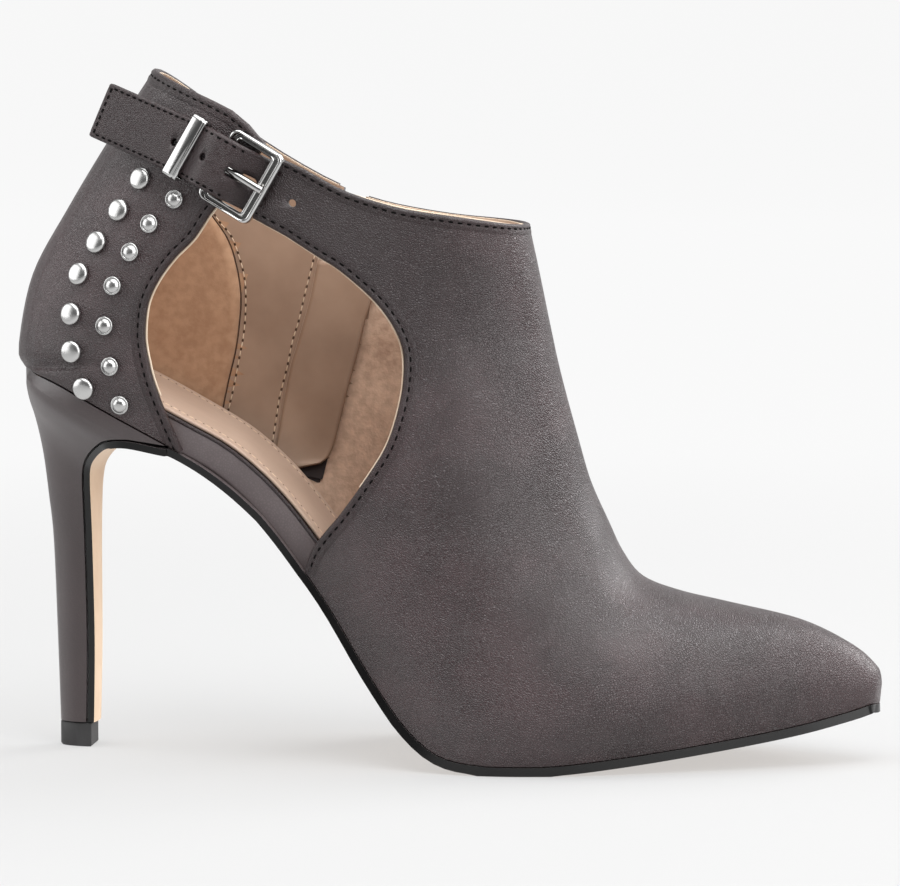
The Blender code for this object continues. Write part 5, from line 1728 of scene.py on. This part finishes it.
@dataclass
class Studs:
    """Two columns of studs on the counter."""

    bench: Bench
    last: Last
    large: float = 0.0059
    small: float = 0.0049
    height: float = 0.0014
    seat: float = 0.0004
    corners: int = 40
    flat: tuple = ((1.0, 0.0), (1.0, 0.22), (0.97, 0.4), (0.91, 0.57), (0.82, 0.71), (0.68, 0.83), (0.5, 0.92),
                   (0.3, 0.975), (0.12, 0.997))
    rimmed: tuple = ((1.0, 0.0), (1.0, 0.3), (0.96, 0.45), (0.88, 0.52), (0.8, 0.48), (0.75, 0.42), (0.7, 0.5),
                     (0.6, 0.74), (0.42, 0.93), (0.2, 1.0))

    def stud(self, name: str, node: str, spot: tuple[float, float], size: float, profile: tuple) -> None:
        """Turn one stud.

        Args:
            name: Name of the piece.
            node: CAD node that it replaces.
            spot: Its place on the upper's side.
            size: Its diameter.
            profile: Radius and height shares, from the edge to the middle.
        """
        point, first, across, out = self.last.frame(Side.LATERAL, *self.last.place(spot), (1.0, 0.0))
        base, count, points = point + out * self.seat, self.corners, []
        for radius, height in profile:
            reach = radius * size / 2
            points += around(base + out * height * self.height, first * reach, across * reach, count)
        points.append(base + out * self.height)
        top = (len(profile) - 1) * count
        faces = [tuple(range(count))] + walls(len(profile), count)
        faces += [(top + k, top + (k + 1) % count, len(points) - 1) for k in range(count)]
        self.bench.keep(self.bench.mesh(name, points, faces, ("stud_metal",), sharp=50.0), "chrome", node)

    def build(self) -> None:
        """Make all fourteen studs."""
        for label, node, spots, size, profile in (("large", "rear", LARGE_STUDS, self.large, self.flat),
                                                  ("small", "front", SMALL_STUDS, self.small, self.rimmed)):
            for k, spot in enumerate(spots, 1):
                self.stud(f"{label}_stud_{k}", f"stud_{node}_{k}", spot, size, profile)


# Zip


@dataclass
class Zip:
    """Tape and teeth of the zip in the inner side. Its slider and pull tab stay the CAD's."""

    bench: Bench
    last: Last
    width: float = 0.0056
    tooth_pitch: float = 0.0015
    tape_steps: int = 44
    flange: float = 2.2
    tooth: tuple = ((-0.35, 0.8), (0.1, 1.0), (0.9, 1.0), (1.45, 0.75))
    tooth_ring: tuple = ((-1, -0.8), (-0.8, -1), (0.8, -1), (1, -0.8), (1, 0.8), (0.8, 1), (-0.8, 1), (-1, 0.8))
    tooth_half: tuple[float, float] = (0.27, 0.42)

    def places(self, steps: int = 11) -> Pairs:
        """Places down the zip, from just under the collar to near the sole."""
        line = curve([self.last.place(p) for p in ZIP_LINE], 40)
        under = [p for p in line if p[1] < self.last.collar_z(Side.MEDIAL, p[0]) - 2 * WALL]
        return [under[round(k * (len(under) - 1) / steps)] for k in range(steps + 1)]

    def frames(self, places: Pairs) -> list[Axes]:
        """Point, down, sideways and outward axes at each place."""
        rows = []
        for n, (x, z) in enumerate(places):
            (x0, z0), (x1, z1) = beside(places, n)
            point, first, _, out = self.last.frame(Side.MEDIAL, x, z, (x1 - x0, z1 - z0))
            rows.append((point, first, out.cross(first), out))
        return rows

    def slot(self) -> Piece:
        """Cutter for the slot in the inner side that the zip fills."""
        places, half = self.places(), self.width / 2 + GAP
        rings = [[point + side * a * half + out * b * 3 * WALL for a, b in ((-1, -1), (1, -1), (1, 1), (-1, 1))]
                 for point, _, side, out in self.frames(places)]
        up = Vector((places[0][0] - places[1][0], 0, places[0][1] - places[1][1])).normalized()
        rings.insert(0, [p + up * 10 * WALL for p in rings[0]])
        rings[-1] = [p - up * GAP for p in rings[-1]]
        return self.bench.loft("cutter", rings, ())

    def build(self) -> None:
        """Make the tape and the teeth."""
        frames, half = self.frames(self.places(self.tape_steps)), self.width / 2 / MM
        wide = half + self.flange
        profile = ((-half, -0.5), (-half * 0.45, -0.45), (-0.35, -0.75), (0.35, -0.75), (half * 0.45, -0.45),
                   (half, -0.5), (half, -2.15), (wide, -2.15), (wide, -2.5), (-wide, -2.5), (-wide, -2.15),
                   (-half, -2.15))
        rings = [[point + (side * a + out * b) * MM for a, b in profile] for point, _, side, out in frames]
        self.bench.keep(self.bench.loft("zip_tape", rings, ("zip_tape",), 50.0), "zip_metal", "zip_chain")
        teeth, (along_half, out_half) = Batch(), self.tooth_half
        for n, (spot, along) in enumerate(spaced([f[0] for f in frames], self.tooth_pitch / 2, 0.7)):
            _, _, side, out = min(frames, key=lambda f: (f[0] - spot).length)
            rows = []
            for at, size in self.tooth:
                middle = spot + side * (at if n % 2 else -at) * MM - out * out_half * MM
                rows.append([middle + (along * a * along_half + out * b * out_half) * size * MM
                             for a, b in self.tooth_ring])
            teeth.rings(rows)
        self.bench.keep(self.bench.mesh("zip_teeth", teeth.points, teeth.faces, ("zip_metal",)), "zip_metal")


# Stitching


@dataclass
class Stitching:
    """All rows of stitches, on the leather and on the linings. Sizes are in millimetres."""

    bench: Bench
    last: Last
    edge: Stitch = Stitch(1.352, 0.72, 0.38, 0.04)
    collar_edge: Stitch = Stitch(1.3, 0.72, 0.38, 0.04)
    strap_side: Stitch = Stitch(1.16, 0.68, 0.42, 0.78)
    strap_end: Stitch = Stitch(1.15, 0.68, 0.42, 0.84)
    seam: Stitch = Stitch(1.488, 0.34, 0.34, 0.1)
    seam_hole: Stitch = Stitch(0.75, 0.62, 0.26, 0.06)
    facing: Stitch = Stitch(1.3, 0.36, 0.3, 0.05)
    facing_hole: Stitch = Stitch(0.5, 0.36, 0.3, 0.05)
    border: Stitch = Stitch(1.3, 0.34, 0.26)
    border_hole: Stitch = Stitch(0.45, 0.34, 0.26)
    pitch: float = 2.4
    strap_pitch: float = 2.0
    strap_inset: float = 6.4
    strap_run: tuple[float, float] = (8.0, 1.6)
    end_inset: float = 1.1
    end_pitch: float = 1.9
    facing_depths: tuple[float, float] = (1.7, 3.4)
    sock_inset: float = 4.2

    def sew(self, batch: Batch, spots: Ring, stitch: Stitch, pitch: float, start: float,
            facing: Callable[[Vector], Vector]) -> None:
        """Lay stitches along a line.

        Args:
            batch: Where the stitches go.
            spots: Corners of the line.
            stitch: Their size.
            pitch: Distance between them, in millimetres.
            start: Where the first one lies, as a share of the pitch.
            facing: Gives the outward direction at a spot.
        """
        for spot, along in spaced(spots, pitch * MM, start):
            batch.thread(spot, along, facing(spot), stitch)

    def on_edge(self, batch: Batch, line: Line, stitch: Stitch, inset: float, pitch: float) -> None:
        """Sew along an edge of the upper, at a distance into the leather."""
        tree, spots = self.last.outer_tree, []
        for here, _, across, _ in line.frames():
            spot = tree.find_nearest(here + across * inset * MM)[0]
            if not spots or (spot - spots[-1]).length > 0.2 * MM:
                spots.append(spot)
        self.sew(batch, spots, stitch, pitch, 0.5, lambda spot: tree.find_nearest(spot)[1])

    def on_strap(self, batch: Batch, strap: Strap) -> None:
        """Sew along both edges of the strap and across its end."""
        for side in (-1, 1):
            run = self.strap_run[0]
            while run < strap.length / MM - self.strap_run[1]:
                middle, first, across, out = strap.line_at(run * MM)
                batch.thread(middle + across * side * self.strap_inset * MM, first, out, self.strap_side)
                run += self.strap_pitch
        middle, first, across, out = strap.line_at(strap.length - self.end_inset * MM)
        for n in range(-3, 4):
            batch.thread(middle + across * n * self.end_pitch * MM, across, out, self.strap_end)

    def on_lining(self, light: Batch, dark: Batch, line: Pairs) -> None:
        """Sew a light thread with dark needle holes on the inner wall, x and z in millimetres."""
        spots = [self.last.touch(Side.MEDIAL, x * MM, z * MM, True) for x, z in curve(line, 5)]
        spots = [p for p in spots if p is not None]
        for batch, stitch, start in ((light, self.seam, 0.5), (dark, self.seam_hole, 1.0)):
            self.sew(batch, spots, stitch, self.pitch, start, lambda spot: Vector((0, -1, 0)))

    def on_collar(self, light: Batch, dark: Batch, line: Line) -> None:
        """Sew the lining along the inside of the inner collar."""
        tree = self.last.inner_tree
        for depth in self.facing_depths:
            spots = [tree.find_nearest(here + across * depth * MM - out * WALL)[0]
                     for here, _, across, out in line.frames() if here.y > 4 * MM]
            for batch, stitch, start in ((light, self.facing, 0.5), (dark, self.facing_hole, 1.0)):
                self.sew(batch, spots, stitch, self.pitch, start, lambda spot: -tree.find_nearest(spot)[1])

    def on_sock(self, light: Batch, dark: Batch, rows: Marks) -> None:
        """Sew along the sock's border, given its places and their up directions."""
        spots = [spot for spot, _ in rows]
        for batch, stitch, start in ((light, self.border, 0.5), (dark, self.border_hole, 1.0)):
            self.sew(batch, spots, stitch, self.pitch, start,
                     lambda spot: min(rows, key=lambda row: (row[0] - spot).length)[1])

    def build(self, upper: Upper, strap: Strap, sole: Sole) -> None:
        """Sew the boot."""
        dark, light, holes = Batch(), Batch(), Batch()
        for line, stitch, inset, pitch in ((upper.counter_line(), self.edge, 1.3, 2.6),
                                           (upper.vamp_line(), self.edge, 1.3, 2.6),
                                           (upper.front_line(), self.collar_edge, 0.95, 2.5)):
            self.on_edge(dark, line, stitch, inset, pitch)
        self.on_strap(dark, strap)
        for line in (LINING_STITCH, LINING_SEAM):
            self.on_lining(light, holes, line)
        for line in (upper.counter_line(), upper.front_line()):
            self.on_collar(light, holes, line)
        for side in Side:
            self.on_sock(light, holes, sole.sock_line(side, self.sock_inset * MM))
        for name, batch, finish, slot in (("leather_stitches", dark, "dark_thread", "leather"),
                                          ("lining_stitches", light, "light_thread", "lining"),
                                          ("needle_holes", holes, "needle_hole", "lining")):
            self.bench.keep(self.bench.mesh(name, batch.points, batch.faces, (finish,), sharp=60.0), slot)


# Studio


@dataclass(frozen=True)
class Softbox:
    """Square studio light that looks at the boot."""

    name: str
    azimuth: float
    elevation: float
    distance: float
    size: float
    power: float

    def hang(self, target: Vector) -> None:
        """Put the light up."""
        lamp = bpy.data.lights.new(self.name, "AREA")
        lamp.size = self.size
        lamp.energy = self.power
        aim(stand(self.name, lamp), self.azimuth, self.elevation, self.distance, target)


@dataclass
class Studio:
    """Pale floor, soft lights and the camera at the photograph's angle."""

    azimuth: float = 7.5
    elevation: float = 6.0
    distance: float = 1.2
    lens: float = 182.4
    target: tuple[float, float, float] = (0.09951, 0.0, 0.08231)
    backdrop: float = 0.93
    paper: float = 0.205
    glow: float = 0.47
    bounce: float = 0.6
    fade: tuple[float, float] = (0.13, 0.8)
    sky_low: float = 0.11
    sky_rise: float = 0.3
    lights: tuple[Softbox, ...] = (
        Softbox("left_box", -81.0, 16.0, 1.3, 1.3, 12.0),
        Softbox("right_box", 52.0, 20.0, 1.4, 1.3, 15.0),
        Softbox("top_box", 20.0, 80.0, 1.1, 1.3, 20.0),
        Softbox("rim_box", 128.0, 30.0, 1.2, 0.8, 12.0),
    )

    def floor(self) -> None:
        """Pale floor that turns up into a backdrop."""
        made = bpy.data.materials.new("floor_paper")
        made.use_nodes = True
        shader = made.node_tree.nodes["Principled BSDF"]
        pen = NodePen(made.node_tree)
        far = pen.ramp(pen.away((self.target[0], 0.0, 0.0)), *self.fade)
        pen.join(pen.blend(far, (self.paper,) * 3, (0.0,) * 3), shader.inputs["Base Color"])
        glow = pen.blend(far, (self.glow,) * 3, (self.backdrop,) * 3)
        seen = pen.add("ShaderNodeLightPath").outputs["Is Camera Ray"]
        pen.join(pen.blend(seen, (self.bounce,) * 3, glow), shader.inputs["Emission Color"])
        for socket, value in (("Roughness", 0.9), ("Specular IOR Level", 0.1), ("Emission Strength", 1.0)):
            shader.inputs[socket].default_value = value
        bend = [QUARTER * k / 12 for k in range(1, 13)]
        profile = [(-4.0, 0.0), (2.5, 0.0)] + [(2.5 + math.sin(t), 1 - math.cos(t)) for t in bend] + [(3.5, 4.0)]
        points = [(x, y, z - 0.00005) for y, z in profile for x in (-5.0, 5.0)]
        faces = [(2 * k, 2 * k + 1, 2 * k + 3, 2 * k + 2) for k in range(len(profile) - 1)]
        mesh = bpy.data.meshes.new("floor")
        mesh.from_pydata(points, [], faces)
        mesh.shade_smooth()
        mesh.materials.append(made)
        stand("floor", mesh)

    def sky(self) -> None:
        """Soft light from all round, brightest from above, and an even pale tone behind."""
        world = bpy.data.worlds.new("studio")
        world.use_nodes = True
        bpy.context.scene.world = world
        pen = NodePen(world.node_tree)
        back = world.node_tree.nodes["Background"]
        back.inputs["Color"].default_value = (1.0, 1.0, 1.0, 1.0)
        split = pen.add("ShaderNodeSeparateXYZ")
        pen.join(pen.add("ShaderNodeTexCoord").outputs["Generated"], split.inputs[0])
        high = pen.ramp(split.outputs["Z"], 0.1, 0.9)
        soft = pen.math("ADD", pen.math("MULTIPLY", high, self.sky_rise), self.sky_low)
        rays = pen.add("ShaderNodeLightPath").outputs["Is Camera Ray"]
        gap = pen.math("SUBTRACT", self.backdrop, soft)
        pen.join(pen.math("ADD", soft, pen.math("MULTIPLY", gap, rays)), back.inputs["Strength"])

    def camera(self) -> None:
        """Camera at the photograph's viewing angle."""
        lens = bpy.data.cameras.new("camera")
        lens.lens = self.lens
        lens.sensor_width = 36.0
        bpy.context.scene.camera = stand("camera", lens)
        aim(bpy.context.scene.camera, self.azimuth, self.elevation, self.distance, Vector(self.target))

    def build(self) -> None:
        """Set up the studio."""
        self.floor()
        self.sky()
        for light in self.lights:
            light.hang(Vector(self.target))
        self.camera()
        bpy.context.scene.view_settings.view_transform = "Standard"


def main() -> None:
    """Dress the boot."""
    logging.basicConfig(level=logging.INFO, format="%(message)s")
    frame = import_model()
    effects = Effects()
    bench = Bench({finish.name: finish.make(effects) for finish in FINISHES})
    last = Last()
    upper, sole = Upper(bench, last), Sole(bench, last)
    strap = Strap(bench, last, upper)
    for assembly in (upper, sole, Lining(bench, last), strap, Studs(bench, last), Zip(bench, last)):
        assembly.build()
    Stitching(bench, last).build(upper, strap, sole)
    for node in ("zip_slider", "zip_pull"):
        slots = frame["nodes"][node].data.materials
        for k, _ in enumerate(slots):
            slots[k] = bench.materials["chrome"]
    Studio().build()
    log.info("%d pieces", len(bench.made))


if __name__ == "__main__":
    main()
